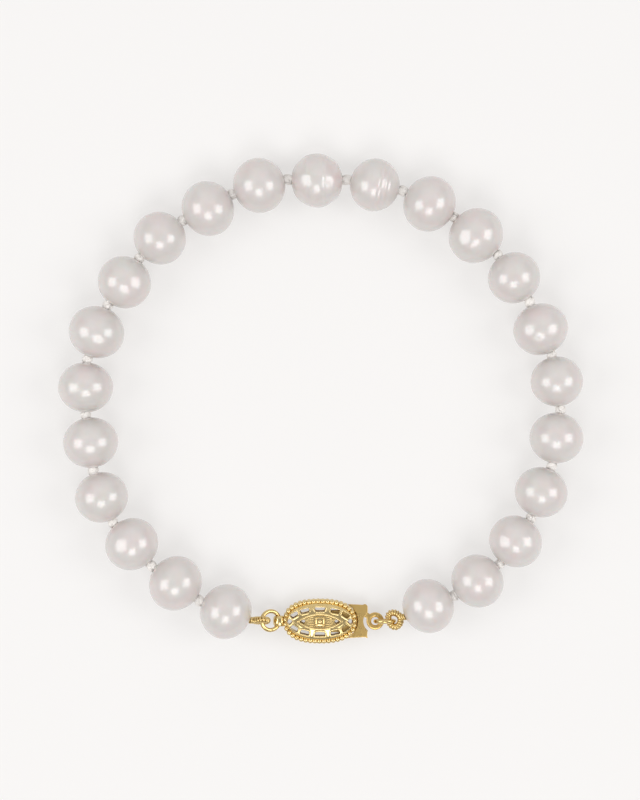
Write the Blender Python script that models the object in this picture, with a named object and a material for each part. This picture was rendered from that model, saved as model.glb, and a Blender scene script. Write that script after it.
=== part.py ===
"""A pearl bracelet laid flat in a closed loop, in metres with +Z up.

Twenty-three drilled pearls hang on one silk thread with a knot between each pair. At either end of the
string a loop of coiled gold wire holds a jump ring, and the two rings hold the halves of a pierced oval
clasp, shown fastened. The loop rests on the plane z = 0 and is centred on the origin, with its clasp on
the -Y side.
"""

import math
from typing import NamedTuple

import bmesh
import bpy
from mathutils import Matrix, Vector

# Pearls
PEARL_LENGTH = 0.00665
PEARL_WIDTH = 0.00685
PEARL_HOLE = 0.0010
PEARL_SIDES = 14
PEARL_BANDS = 7

# Silk
THREAD_DIAMETER = 0.00045
THREAD_SIDES = 8
KNOT_DIAMETER = 0.0011
KNOT_GAP = 0.00070
KNOT_TUCK = 0.00002

# Loops of coiled wire at the ends of the string
GIMP_WIRE = 0.00075
GIMP_LENGTH = 0.0026
GIMP_WIDTH = 0.0028
GIMP_TAPER = 0.15

# Jump rings
RING_DIAMETER = 0.0030
RING_WIRE = 0.0005

# Clasp housing
HOUSING_LENGTH = 0.0096
HOUSING_WIDTH = 0.0059
HOUSING_HEIGHT = 0.0036
HOUSING_WALL = 0.0004
OVAL_POWER = 2.2
BEAD_DIAMETER = 0.00072
BEAD_PITCH = 0.00054
BEAD_WAIST = 0.62
FRAME_LENGTH = 0.0057
FRAME_WIDTH = 0.0021
FRAME_HOLE_WIDTH = 0.00052
FRAME_HOLE_SPACING = 0.0046
BOSS_WIDTH = 0.00135
BOSS_RISE = 0.0002
WINDOW_WIDTH = 0.00052
LUG_HOLE = 0.0009
LUG_BAND = 0.0004
LUG_WIDTH = 0.0010
MOUTH_DEPTH = 0.0026

# Clasp hook
TONGUE_WIDTH = 0.00286
TONGUE_HEIGHT = 0.0010
TONGUE_REACH = 0.00375
LEAF_THICKNESS = 0.00033
LEAF_SETBACK = 0.0006
SLOT_WIDTH = 0.0007
PLATE_THICKNESS = 0.00045
WING_SPAN = 0.00444
WING_REACH = 0.00154
WING_CORNER = 0.0003
EYE_DIAMETER = 0.0023
EYE_HOLE = 0.00104
EYE_THICKNESS = 0.00043
EYE_SETBACK = 0.0024
EYE_GAP = 0.0004
NECK_WIDTH = 0.0007
NECK_THICKNESS = 0.00041
NECK_ANGLE = 145

# Facets
HOUSING_SIDES = 32
EYE_SIDES = 16

# Clearances
LINK_CLEARANCE = 0.00015
SEAT_CLEARANCE = 0.0002
TONGUE_CLEARANCE = 0.0002
OVERLAP = 0.0002


class Pearl(NamedTuple):
    """A pearl and the gap after it as shares of the driving sizes, and the string's turn at it in degrees."""

    length: float
    width: float
    height: float
    gap: float
    turn: float


# Clockwise from the pearl on the -X side of the clasp
PEARLS = (
    Pearl(1.00, 1.01, 1.01, 1.20, 0),
    Pearl(1.01, 1.02, 1.00, 1.35, 12.4),
    Pearl(1.00, 0.99, 1.00, 0.95, 15.4),
    Pearl(0.98, 0.98, 0.99, 1.00, 21.4),
    Pearl(0.99, 1.01, 1.00, 0.95, 6.3),
    Pearl(0.98, 1.01, 1.01, 1.00, 16.4),
    Pearl(1.01, 1.03, 1.02, 1.00, 17.8),
    Pearl(1.01, 0.99, 1.00, 0.90, 9.7),
    Pearl(1.01, 0.98, 0.99, 0.90, 19.6),
    Pearl(1.01, 1.02, 1.01, 0.80, 7.3),
    Pearl(1.02, 1.01, 1.02, 1.15, 19.3),
    Pearl(1.01, 0.99, 0.98, 1.35, 9.5),
    Pearl(0.97, 0.97, 0.97, 1.35, 14.7),
    Pearl(1.01, 1.03, 1.02, 0.75, 15.3),
    Pearl(1.03, 1.04, 1.03, 0.95, 13.3),
    Pearl(0.99, 0.97, 0.98, 1.30, 14.9),
    Pearl(1.00, 1.01, 1.00, 0.75, 10.0),
    Pearl(0.98, 0.96, 0.97, 1.15, 17.8),
    Pearl(0.99, 0.99, 1.00, 1.10, 15.3),
    Pearl(0.98, 0.97, 0.98, 0.95, 11.6),
    Pearl(0.99, 0.99, 0.99, 0.75, 16.6),
    Pearl(1.00, 0.99, 1.00, 0.78, 19.1),
    Pearl(1.00, 1.00, 1.00, 1.00, 0),
)


class End(NamedTuple):
    """How one end of the string leaves the clasp: its side, +1 for +X, and angles in degrees.

    The ring, gimp and pearl headings are measured off the clasp's line, and a roll of 0 lies flat.
    """

    side: int
    ring: float
    gimp: float
    pearl: float
    ring_roll: float
    gimp_roll: float


LEFT = End(side=-1, ring=4, gimp=2, pearl=20, ring_roll=0, gimp_roll=90)
RIGHT = End(side=1, ring=1, gimp=16, pearl=25, ring_roll=90, gimp_roll=0)


class Ring(NamedTuple):
    """One level of the housing's shell, as shares of its half length, half width and half height."""

    length: float
    width: float
    height: float


SHELL = (
    Ring(0.93, 0.88, 0.00),
    Ring(0.93, 0.86, 0.50),
    Ring(0.90, 0.70, 0.80),
    Ring(0.62, 0.36, 0.93),
)


class Window(NamedTuple):
    """A window: its angle round the oval in degrees, its size in window widths, and its turn in degrees."""

    angle: float
    length: float
    width: float
    turn: float


# One quarter of the oval
WINDOWS = (
    Window(90, 2.1, 1.0, 0),
    Window(60, 2.1, 1.0, 0),
    Window(33, 1.7, 0.95, 0),
    Window(0, 1.0, 1.1, 45),
)
WINDOW_OVAL_LENGTH = 0.0079
WINDOW_OVAL_WIDTH = 0.0032

# The knot's outline: places along half its length, and the share of its full radius there
KNOT_OUTLINE = ((-1.0, 0.42), (-0.55, 0.84), (0.0, 1.0), (0.55, 0.84), (1.0, 0.42))

# The least and most that the string's turns may be eased
EASE_RANGE = (0.4, 1.18)

CLASP_HEIGHT = HOUSING_HEIGHT / 2
HOUSING_HALF = HOUSING_LENGTH / 2
RING_RADIUS = (RING_DIAMETER - RING_WIRE) / 2


def material(name, colour, roughness, metallic):
    """A material with one colour in linear light."""
    made = bpy.data.materials.new(name)
    made.use_nodes = True
    shader = made.node_tree.nodes["Principled BSDF"]
    shader.inputs["Base Color"].default_value = (*colour, 1)
    shader.inputs["Roughness"].default_value = roughness
    shader.inputs["Metallic"].default_value = metallic
    return made


def mesh_object(name, shape, finish=None):
    """An object from a bmesh. Without a finish it is a helper that the render leaves out."""
    bmesh.ops.recalc_face_normals(shape, faces=shape.faces)
    mesh = bpy.data.meshes.new(name)
    shape.to_mesh(mesh)
    shape.free()
    made = bpy.data.objects.new(name, mesh)
    bpy.context.scene.collection.objects.link(made)
    if finish is None:
        made.hide_render = True
        made.display_type = "WIRE"
    else:
        mesh.materials.append(finish)
    return made


def shade_round(made, angle=40):
    """Shades a piece smooth apart from edges sharper than this angle in degrees."""
    made.data.shade_smooth()
    made.data.set_sharp_from_angle(angle=math.radians(angle))


def loft(shape, sections, closed):
    """Skins closed sections of equal count. The ends are capped, or in a closed loft joined to each other."""
    rows = [[shape.verts.new(point) for point in section] for section in sections]
    pairs = list(zip(rows, rows[1:]))
    if closed:
        pairs.append((rows[-1], rows[0]))
    for row, following in pairs:
        for i in range(len(row)):
            j = (i + 1) % len(row)
            shape.faces.new((row[i], row[j], following[j], following[i]))
    if not closed:
        shape.faces.new(reversed(rows[0]))
        shape.faces.new(rows[-1])


def prism(shape, outline, bottom, top):
    """An upright prism over a flat outline of (x, y) points."""
    loft(shape, [[(x, y, z) for x, y in outline] for z in (bottom, top)], closed=False)


def tube_sections(points, radii, sides, closed):
    """Round sections along a path that nowhere runs straight up."""
    sections = []
    count = len(points)
    for i, (point, radius) in enumerate(zip(points, radii)):
        before = points[(i - 1) % count] if closed or i > 0 else point
        after = points[(i + 1) % count] if closed or i < count - 1 else point
        along = (after - before).normalized()
        across = Vector((0, 0, 1)).cross(along).normalized()
        upward = along.cross(across)
        turns = [2 * math.pi * (k + 0.5) / sides for k in range(sides)]
        sections.append([point + radius * (math.cos(a) * across + math.sin(a) * upward) for a in turns])
    return sections


def combine(made, helpers, operation):
    """Joins helper solids to an object, or cuts them from it, in one Boolean."""
    group = bpy.data.collections.new(f"{made.name} {operation.lower()}")
    bpy.context.scene.collection.children.link(group)
    for helper in helpers:
        bpy.context.scene.collection.objects.unlink(helper)
        group.objects.link(helper)
        helper.parent = made
    boolean = made.modifiers.new(group.name, "BOOLEAN")
    boolean.operation = operation
    boolean.solver = "EXACT"
    boolean.operand_type = "COLLECTION"
    boolean.collection = group


def cross_drum(name, x, radius, depth):
    """A helper cylinder lying along Y at this x."""
    shape = bmesh.new()
    bmesh.ops.create_cone(
        shape,
        cap_ends=True,
        segments=14,
        radius1=radius,
        radius2=radius,
        depth=depth,
        matrix=Matrix.Translation((x, 0, 0)) @ Matrix.Rotation(math.pi / 2, 4, "X"),
    )
    return mesh_object(name, shape)


def prism_helper(name, outline, bottom, top):
    """A helper prism over a flat outline."""
    shape = bmesh.new()
    prism(shape, outline, bottom, top)
    return mesh_object(name, shape)


def heading(degrees):
    """A level unit vector, anticlockwise from +X."""
    angle = math.radians(degrees)
    return Vector((math.cos(angle), math.sin(angle), 0))


def oval_point(half_length, half_width, angle):
    """A point of a full oval at this angle in radians."""
    c = math.cos(angle)
    s = math.sin(angle)
    x = math.copysign(abs(c) ** (2 / OVAL_POWER), c)
    y = math.copysign(abs(s) ** (2 / OVAL_POWER), s)
    return half_length * x, half_width * y


def oval(half_length, half_width, sides):
    """The corners of a full oval."""
    return [oval_point(half_length, half_width, 2 * math.pi * (k + 0.5) / sides) for k in range(sides)]


def oval_edge(half_length, half_width, y):
    """The x of a full oval's +X side at this y."""
    return half_length * (1 - abs(y / half_width) ** OVAL_POWER) ** (1 / OVAL_POWER)


def rectangle(x, y, length, width, angle=0.0):
    """The corners of a rectangle about (x, y), turned by an angle in radians."""
    c = math.cos(angle)
    s = math.sin(angle)
    u = length / 2
    v = width / 2
    corners = ((-u, -v), (u, -v), (u, v), (-u, v))
    return [(x + c * along - s * across, y + s * along + c * across) for along, across in corners]


def pointed_oval(length, width, sides):
    """An outline of two equal arcs that meet in points at -X and +X."""
    radius = (length**2 + width**2) / (4 * width)
    sweep = math.asin(length / 2 / radius)
    arc = [sweep * (2 * k / sides - 1) for k in range(sides)]
    upper = [(-radius * math.sin(a), radius * math.cos(a) - radius + width / 2) for a in reversed(arc)]
    return [(-x, -y) for x, y in upper] + upper


def pearl_mesh(pearl, name, finish):
    """A drilled pearl about its hole along X, with a flat facet of its middle band pointing straight down."""
    half_length = PEARL_LENGTH * pearl.length / 2
    half_width = PEARL_WIDTH * pearl.width / 2
    half_height = PEARL_WIDTH * pearl.height / 2
    edge = math.acos(PEARL_HOLE / 2 / half_width)
    outside = 1 / math.cos(edge / PEARL_BANDS) / math.cos(math.pi / PEARL_SIDES)
    sections = []
    for band in range(PEARL_BANDS + 1):
        latitude = edge * (2 * band / PEARL_BANDS - 1)
        at_hole = band in (0, PEARL_BANDS)
        share = PEARL_HOLE / 2 / half_width if at_hole else math.cos(latitude) * outside
        turns = [2 * math.pi * (k + 0.5) / PEARL_SIDES - math.pi / 2 for k in range(PEARL_SIDES)]
        sections.append(
            [
                (
                    half_length * math.sin(latitude),
                    half_width * share * math.cos(a),
                    half_height * share * math.sin(a),
                )
                for a in turns
            ]
        )
    shape = bmesh.new()
    loft(shape, sections, closed=True)
    made = mesh_object(name, shape, finish)
    shade_round(made)
    return made


def chain_end(end):
    """One end's ring centre, gimp centre, the mouth of its pearl's hole, and the links' slope."""
    hole = EYE_HOLE if end.side > 0 else LUG_HOLE
    hole_x = HOUSING_HALF + (EYE_SETBACK if end.side > 0 else LUG_HOLE / 2)
    taut = (hole - RING_WIRE) / 2 - LINK_CLEARANCE
    eye = Vector((end.side * (hole_x + taut), 0, CLASP_HEIGHT))
    pearl = PEARLS[-1] if end.side > 0 else PEARLS[0]
    rise = PEARL_WIDTH * pearl.height / 2 - CLASP_HEIGHT
    ring_run = 2 * RING_RADIUS - RING_WIRE / 2 - LINK_CLEARANCE - GIMP_WIRE / 2
    gimp_run = GIMP_LENGTH - GIMP_WIRE / 2 + SEAT_CLEARANCE
    slope = math.asin(rise / (ring_run + gimp_run))

    def outward(degrees, length):
        level = heading(degrees)
        level.x *= end.side
        return length * (math.cos(slope) * level + math.sin(slope) * Vector((0, 0, 1)))

    ring = eye + outward(end.ring, RING_RADIUS)
    far_wire = eye + outward(end.ring, ring_run)
    gimp = far_wire + outward(end.gimp, (GIMP_LENGTH - GIMP_WIRE) / 2)
    mouth = far_wire + outward(end.gimp, gimp_run)
    return ring, gimp, mouth, slope


def end_pearl(end):
    """The centre of the pearl at one end, and its hole's level direction away from the clasp."""
    pearl = PEARLS[-1] if end.side > 0 else PEARLS[0]
    away = heading(end.pearl)
    away.x *= end.side
    mouth = chain_end(end)[2]
    return mouth + away * PEARL_LENGTH * pearl.length / 2, away


def walk(factor):
    """The pearls' centres from the origin and each step's direction, with every turn scaled by a factor."""
    points = [Vector((0, 0, 0))]
    directions = []
    angle = 0.0
    for pearl, following in zip(PEARLS, PEARLS[1:]):
        angle -= pearl.turn * factor
        step = PEARL_LENGTH * (pearl.length + following.length) / 2 + KNOT_GAP * pearl.gap
        directions.append(angle)
        points.append(points[-1] + step * heading(angle))
    return points, directions


def plan_angle(vector):
    """A vector's heading in degrees, anticlockwise from +X."""
    return math.degrees(math.atan2(vector.y, vector.x))


def string_layout():
    """Each pearl's centre and its hole's heading in degrees.

    One factor eases every turn until the string's ends meet the clasp's links.
    """
    first, first_away = end_pearl(LEFT)
    last, last_away = end_pearl(RIGHT)
    chord = last - first
    chord.z = 0
    low, high = EASE_RANGE
    for _ in range(60):
        factor = (low + high) / 2
        if walk(factor)[0][-1].length > chord.length:
            low = factor
        else:
            high = factor
    points, directions = walk(factor)
    turned = plan_angle(chord) - plan_angle(points[-1])
    turn = Matrix.Rotation(math.radians(turned), 3, "Z")
    centres = []
    for pearl, point in zip(PEARLS, points):
        centre = turn @ point + first
        centre.z = PEARL_WIDTH * pearl.height / 2
        centres.append(centre)
    holes = [plan_angle(first_away)]
    holes += [turned + (before + after) / 2 for before, after in zip(directions, directions[1:])]
    holes.append(plan_angle(-last_away))
    return centres, holes


def build_pearls(centres, holes, nacre):
    """The drilled pearls, each resting on its own lowest facet."""
    made = []
    for number, (pearl, centre, hole) in enumerate(zip(PEARLS, centres, holes), start=1):
        bead = pearl_mesh(pearl, f"pearl_{number:02d}", nacre)
        bead.location = centre
        bead.rotation_euler.z = math.radians(hole)
        made.append(bead)
    return made


def build_strand(centres, holes, silk):
    """The thread through every pearl, swelling to a knot in each gap."""
    points = []
    radii = []
    mouths = []
    for pearl, centre, hole in zip(PEARLS, centres, holes):
        reach = PEARL_LENGTH * pearl.length / 2 * heading(hole)
        mouths.append((centre - reach, centre + reach))
    points.append(mouths[0][0])
    radii.append(THREAD_DIAMETER / 2)
    for (_, leaving), (entering, _) in zip(mouths, mouths[1:]):
        middle = (leaving + entering) / 2
        span = entering - leaving
        half_knot = span.normalized() * (span.length / 2 + KNOT_TUCK)
        for place, share in KNOT_OUTLINE:
            points.append(middle + place * half_knot)
            radii.append(KNOT_DIAMETER / 2 * share)
    points.append(mouths[-1][1])
    radii.append(THREAD_DIAMETER / 2)
    shape = bmesh.new()
    loft(shape, tube_sections(points, radii, THREAD_SIDES, closed=False), closed=False)
    made = mesh_object("silk_strand", shape, silk)
    shade_round(made)
    return made


def build_ring(name, sides, gold):
    """A jump ring lying flat about its centre."""
    points = [RING_RADIUS * heading(360 * k / sides) for k in range(sides)]
    shape = bmesh.new()
    loft(shape, tube_sections(points, [RING_WIRE / 2] * sides, 6, closed=True), closed=True)
    made = mesh_object(name, shape, gold)
    shade_round(made, 70)
    return made


def build_gimp(name, sides, gold):
    """A loop of coiled wire lying flat about its centre, a little narrower towards its pearl at +X."""
    points = []
    for k in range(sides):
        level = heading(360 * k / sides)
        x = (GIMP_LENGTH - GIMP_WIRE) / 2 * level.x
        y = (GIMP_WIDTH - GIMP_WIRE) / 2 * level.y * (1 - GIMP_TAPER * level.x)
        points.append(Vector((x, y, 0)))
    shape = bmesh.new()
    loft(shape, tube_sections(points, [GIMP_WIRE / 2] * sides, 8, closed=True), closed=True)
    made = mesh_object(name, shape, gold)
    shade_round(made, 70)
    return made


def build_links(gold):
    """The ring and the coiled loop at each end, tilted up from the clasp to the hole of the end pearl."""
    made = []
    for end, word in ((LEFT, "left"), (RIGHT, "right")):
        ring_centre, gimp_centre, _, slope = chain_end(end)
        ring = build_ring(f"jump_ring_{word}", 16, gold)
        gimp = build_gimp(f"gimp_loop_{word}", 16, gold)
        placed = (
            (ring, ring_centre, end.ring, end.ring_roll),
            (gimp, gimp_centre, end.gimp, end.gimp_roll),
        )
        for link, centre, degrees, roll in placed:
            level = heading(degrees)
            level.x *= end.side
            link.location = centre
            link.rotation_euler = (math.radians(roll), -slope, math.radians(plan_angle(level)))
            made.append(link)
    return made


def shell_sections(inset, sides):
    """The housing's levels from bottom to top, drawn in on every side by an inset."""
    levels = [(level, 1) for level in SHELL[1:]]
    levels = [(level, -1) for level in reversed(SHELL[1:])] + [(SHELL[0], 0)] + levels
    sections = []
    for level, up in levels:
        half_length = HOUSING_HALF * level.length - inset
        half_width = HOUSING_WIDTH / 2 * level.width - inset
        z = up * (HOUSING_HEIGHT / 2 * level.height - inset)
        sections.append([(x, y, z) for x, y in oval(half_length, half_width, sides)])
    return sections


def beaded_rim():
    """The row of beads round the housing's seam, as one closed rope that swells at each bead."""
    half_length = HOUSING_HALF - BEAD_DIAMETER / 2
    half_width = HOUSING_WIDTH / 2 - BEAD_DIAMETER / 2
    steps = 720
    turns = [2 * math.pi * k / steps for k in range(steps + 1)]
    fine = [Vector((*oval_point(half_length, half_width, a), 0)) for a in turns]
    runs = [0.0]
    for before, after in zip(fine, fine[1:]):
        runs.append(runs[-1] + (after - before).length)
    count = round(runs[-1] / BEAD_PITCH)
    points = []
    radii = []
    place = 0
    for half_bead in range(2 * count):
        run = runs[-1] * half_bead / (2 * count)
        while runs[place + 1] < run:
            place += 1
        share = (run - runs[place]) / (runs[place + 1] - runs[place])
        points.append(fine[place].lerp(fine[place + 1], share))
        radii.append(BEAD_DIAMETER / 2 * (BEAD_WAIST if half_bead % 2 else 1))
    shape = bmesh.new()
    loft(shape, tube_sections(points, radii, 6, closed=True), closed=True)
    return mesh_object("rim_beads", shape)


def build_housing(gold):
    """The pierced oval box about its own centre, its mouth at +X and its eye at -X, all soldered into one."""
    shape = bmesh.new()
    loft(shape, shell_sections(0, HOUSING_SIDES), closed=False)
    made = mesh_object("clasp_housing", shape, gold)

    half_height = HOUSING_HEIGHT / 2
    frame = pointed_oval(FRAME_LENGTH, FRAME_WIDTH, 6)
    boss = rectangle(0, 0, BOSS_WIDTH, BOSS_WIDTH)
    eye_x = -HOUSING_HALF - LUG_HOLE / 2
    added = [
        beaded_rim(),
        prism_helper("raised_frames", frame, -half_height, half_height),
        prism_helper("centre_boss", boss, half_height / 2, half_height + BOSS_RISE),
        cross_drum("lug", eye_x, LUG_HOLE / 2 + LUG_BAND, LUG_WIDTH),
    ]
    combine(made, added, "UNION")

    shape = bmesh.new()
    loft(shape, shell_sections(HOUSING_WALL, HOUSING_SIDES), closed=False)
    mouth_height = TONGUE_HEIGHT / 2 + TONGUE_CLEARANCE
    mouth_length = MOUTH_DEPTH + OVERLAP
    mouth_x = HOUSING_HALF + OVERLAP - mouth_length / 2
    mouth = rectangle(mouth_x, 0, mouth_length, TONGUE_WIDTH + 2 * TONGUE_CLEARANCE)
    removed = [
        mesh_object("hollow", shape),
        window_cutter(),
        prism_helper("mouth", mouth, -mouth_height, mouth_height),
        cross_drum("lug_hole", eye_x, LUG_HOLE / 2, LUG_WIDTH + OVERLAP),
    ]
    combine(made, removed, "DIFFERENCE")
    made.location.z = CLASP_HEIGHT
    return made


def window_cutter():
    """Prisms through the whole housing: the windows round its oval and a hole in each end of the frame."""
    reach = HOUSING_HEIGHT
    shape = bmesh.new()
    for window in WINDOWS:
        mirrored = {window.angle, 180 - window.angle, 180 + window.angle, (360 - window.angle) % 360}
        for degrees in sorted(mirrored):
            angle = math.radians(degrees)
            x = WINDOW_OVAL_LENGTH / 2 * math.cos(angle)
            y = WINDOW_OVAL_WIDTH / 2 * math.sin(angle)
            along = math.atan2(WINDOW_OVAL_WIDTH * math.cos(angle), -WINDOW_OVAL_LENGTH * math.sin(angle))
            turned = along + math.radians(window.turn)
            outline = rectangle(x, y, WINDOW_WIDTH * window.length, WINDOW_WIDTH * window.width, turned)
            prism(shape, outline, -reach, reach)
    for x in (-FRAME_HOLE_SPACING / 2, FRAME_HOLE_SPACING / 2):
        outline = rectangle(x, 0, FRAME_HOLE_WIDTH, FRAME_HOLE_WIDTH, math.pi / 4)
        prism(shape, outline, -reach, reach)
    return mesh_object("windows", shape)


def plate_outline():
    """The winged plate: its inner edge follows the housing and its outer edge clears the eye."""
    half_span = WING_SPAN / 2
    right = HOUSING_HALF + WING_REACH
    inner_length = HOUSING_HALF + TONGUE_CLEARANCE
    inner_width = HOUSING_WIDTH / 2 + TONGUE_CLEARANCE
    inner_steps = 8
    inner = []
    for k in range(inner_steps + 1):
        y = half_span * (1 - 2 * k / inner_steps)
        inner.append((oval_edge(inner_length, inner_width, y), y))
    eye_x = HOUSING_HALF + EYE_SETBACK
    clear = EYE_DIAMETER / 2 + EYE_GAP
    opening = math.acos((eye_x - right) / clear)
    bay_steps = 6
    bay = []
    for k in range(bay_steps + 1):
        a = opening * (2 * k / bay_steps - 1)
        bay.append((eye_x - clear * math.cos(a), clear * math.sin(a)))
    lower = [(right, -half_span)]
    upper = [(right, half_span - WING_CORNER), (right - WING_CORNER, half_span)]
    return inner + lower + bay + upper


def build_hook(gold):
    """The folded, slotted tongue with its winged plate and eye, about the housing's centre."""
    shape = bmesh.new()
    prism(shape, plate_outline(), -PLATE_THICKNESS / 2, PLATE_THICKNESS / 2)
    made = mesh_object("clasp_hook", shape, gold)

    shape = bmesh.new()
    loft(shape, tongue_sections(), closed=False)
    combine(made, [mesh_object("tongue", shape), build_eye(), build_neck()], "UNION")

    slot_start = HOUSING_HALF - TONGUE_REACH + 2 * LEAF_THICKNESS
    slot_end = HOUSING_HALF - OVERLAP
    slot = rectangle((slot_start + slot_end) / 2, 0, slot_end - slot_start, SLOT_WIDTH)
    combine(made, [prism_helper("slot", slot, -TONGUE_HEIGHT, TONGUE_HEIGHT)], "DIFFERENCE")
    made.location.z = CLASP_HEIGHT
    return made


def build_eye():
    """The flat ring at the end of the hook, a little thinner than its plate."""
    half = EYE_THICKNESS / 2
    band = (EYE_DIAMETER - EYE_HOLE) / 4
    corners = ((band, half), (-band, half), (-band, -half), (band, -half))
    sections = []
    for k in range(EYE_SIDES):
        level = heading(360 * (k + 0.5) / EYE_SIDES)
        middle = Vector((HOUSING_HALF + EYE_SETBACK, 0, 0)) + (EYE_HOLE / 2 + band) * level
        sections.append([middle + out * level + Vector((0, 0, up)) for out, up in corners])
    shape = bmesh.new()
    loft(shape, sections, closed=True)
    return mesh_object("eye", shape)


def build_neck():
    """The short bridge that joins the eye to its plate."""
    angle = math.radians(NECK_ANGLE)
    middle = EYE_DIAMETER / 2 + EYE_GAP / 2
    x = HOUSING_HALF + EYE_SETBACK + middle * math.cos(angle)
    outline = rectangle(x, middle * math.sin(angle), EYE_GAP + 2 * OVERLAP, NECK_WIDTH, angle)
    return prism_helper("neck", outline, -NECK_THICKNESS / 2, NECK_THICKNESS / 2)


def tongue_sections():
    """The folded strip's outline at each edge: a lower leaf from the plate, a fold and an upper leaf."""
    outer = TONGUE_HEIGHT / 2
    inner = outer - LEAF_THICKNESS
    fold_x = HOUSING_HALF - TONGUE_REACH + outer
    lower_end = HOUSING_HALF + 2 * OVERLAP
    upper_end = HOUSING_HALF - LEAF_SETBACK
    fold_steps = 6
    arc = [math.pi / 2 + math.pi * k / fold_steps for k in range(fold_steps + 1)]
    outline = [(upper_end, inner), (upper_end, outer)]
    outline += [(fold_x + outer * math.cos(a), outer * math.sin(a)) for a in arc]
    outline += [(lower_end, -outer), (lower_end, -inner)]
    outline += [(fold_x + inner * math.cos(a), inner * math.sin(a)) for a in reversed(arc)]
    return [[(x, y, z) for x, z in outline] for y in (-TONGUE_WIDTH / 2, TONGUE_WIDTH / 2)]


def centre_on_origin(root, pieces):
    """Moves the root so that the pieces' box stands centrally on the origin."""
    bpy.context.view_layer.update()
    graph = bpy.context.evaluated_depsgraph_get()
    corners = []
    for piece in pieces:
        evaluated = piece.evaluated_get(graph)
        corners += [evaluated.matrix_world @ vertex.co for vertex in evaluated.data.vertices]
    for axis in range(2):
        places = [corner[axis] for corner in corners]
        root.location[axis] = -(min(places) + max(places)) / 2
    root.location.z = -min(corner.z for corner in corners)


def main():
    """Clears the scene and builds the bracelet."""
    for old in list(bpy.data.objects):
        bpy.data.objects.remove(old)
    nacre = material("white pearl nacre", (0.70, 0.64, 0.61), 0.25, 0.0)
    silk = material("white silk", (0.66, 0.62, 0.58), 0.8, 0.0)
    gold = material("yellow gold", (0.62, 0.40, 0.14), 0.25, 1.0)
    centres, holes = string_layout()
    pieces = build_pearls(centres, holes, nacre)
    pieces.append(build_strand(centres, holes, silk))
    pieces += build_links(gold)
    pieces.append(build_housing(gold))
    pieces.append(build_hook(gold))
    root = bpy.data.objects.new("bracelet", None)
    bpy.context.scene.collection.objects.link(root)
    for piece in pieces:
        piece.parent = root
    centre_on_origin(root, pieces)


main()
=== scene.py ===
"""The looks of a pearl bracelet that lies in a closed loop with its clasp fastened.

Twenty-three cream pearls are knotted on white silk. At either end of the string a loop of coiled gold
wire holds a jump ring, and the two rings hold the halves of a pierced oval clasp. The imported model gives
every place, so each piece reads where its own solid lies. Sizes are in millimetres up to the last step
of each piece, which turns them to metres.
"""

import logging
import math
from collections.abc import Callable, Sequence
from dataclasses import dataclass
from enum import Enum
from typing import ClassVar

import bmesh
import bpy
import numpy as np
from mathutils import Matrix, Vector, noise


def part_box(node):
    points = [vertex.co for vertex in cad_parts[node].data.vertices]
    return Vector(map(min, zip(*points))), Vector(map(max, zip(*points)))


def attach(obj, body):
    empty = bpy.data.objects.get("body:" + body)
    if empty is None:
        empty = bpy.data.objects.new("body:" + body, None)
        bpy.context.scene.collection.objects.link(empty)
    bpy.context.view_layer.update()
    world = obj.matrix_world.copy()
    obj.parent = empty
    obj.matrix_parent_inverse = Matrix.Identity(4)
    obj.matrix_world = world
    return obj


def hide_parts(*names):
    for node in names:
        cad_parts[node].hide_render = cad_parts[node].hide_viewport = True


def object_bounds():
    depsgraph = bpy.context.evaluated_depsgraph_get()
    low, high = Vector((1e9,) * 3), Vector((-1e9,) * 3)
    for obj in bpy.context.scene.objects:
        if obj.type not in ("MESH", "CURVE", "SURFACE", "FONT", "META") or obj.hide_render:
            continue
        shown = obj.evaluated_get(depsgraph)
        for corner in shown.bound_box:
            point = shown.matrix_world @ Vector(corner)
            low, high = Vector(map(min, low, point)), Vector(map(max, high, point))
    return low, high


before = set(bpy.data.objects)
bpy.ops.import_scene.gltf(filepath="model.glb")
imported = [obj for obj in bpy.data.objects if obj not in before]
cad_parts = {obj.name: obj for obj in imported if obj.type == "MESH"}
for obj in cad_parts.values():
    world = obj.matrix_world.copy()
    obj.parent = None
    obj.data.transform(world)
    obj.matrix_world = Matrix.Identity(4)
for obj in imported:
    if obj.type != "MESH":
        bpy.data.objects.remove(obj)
CAD_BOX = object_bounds()

LOG = logging.getLogger("pearl_bracelet")
MM = 0.001
PEARL_COUNT = 23

Point = tuple[float, float, float]
Outline = list[tuple[float, float]]


# Colours, nodes and geometry trees


def linear(hex_colour: str) -> tuple[float, float, float, float]:
    """Turns an sRGB colour to the linear one that a shader takes.

    Args:
        hex_colour: Six hex digits after a hash sign.

    Returns:
        Linear red, green and blue, and a full alpha.
    """
    channels = []
    for start in (1, 3, 5):
        value = int(hex_colour[start:start + 2], 16) / 255
        channels.append(value / 12.92 if value <= 0.04045 else ((value + 0.055) / 1.055) ** 2.4)
    return channels[0], channels[1], channels[2], 1.0


def add_node(tree: bpy.types.NodeTree, kind: str, inputs: dict | None = None, **settings) -> bpy.types.Node:
    """Adds one node with its settings, and gives each named input a value or a link.

    Args:
        tree: The node tree that gets the node.
        kind: The node's type name.
        inputs: Values or output sockets, by the input's name or number.
        **settings: The node's own properties.

    Returns:
        The new node.
    """
    node = tree.nodes.new(kind)
    for name, value in settings.items():
        setattr(node, name, value)
    for key, value in (inputs or {}).items():
        if isinstance(value, bpy.types.NodeSocket):
            tree.links.new(value, node.inputs[key])
        else:
            node.inputs[key].default_value = value
    return node


def new_material(name: str) -> tuple[bpy.types.Material, bpy.types.NodeTree]:
    """Starts a material with an empty node tree.

    Args:
        name: The material's name.

    Returns:
        The material and its tree.
    """
    made = bpy.data.materials.new(name)
    made.use_nodes = True
    made.node_tree.nodes.clear()
    return made, made.node_tree


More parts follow.
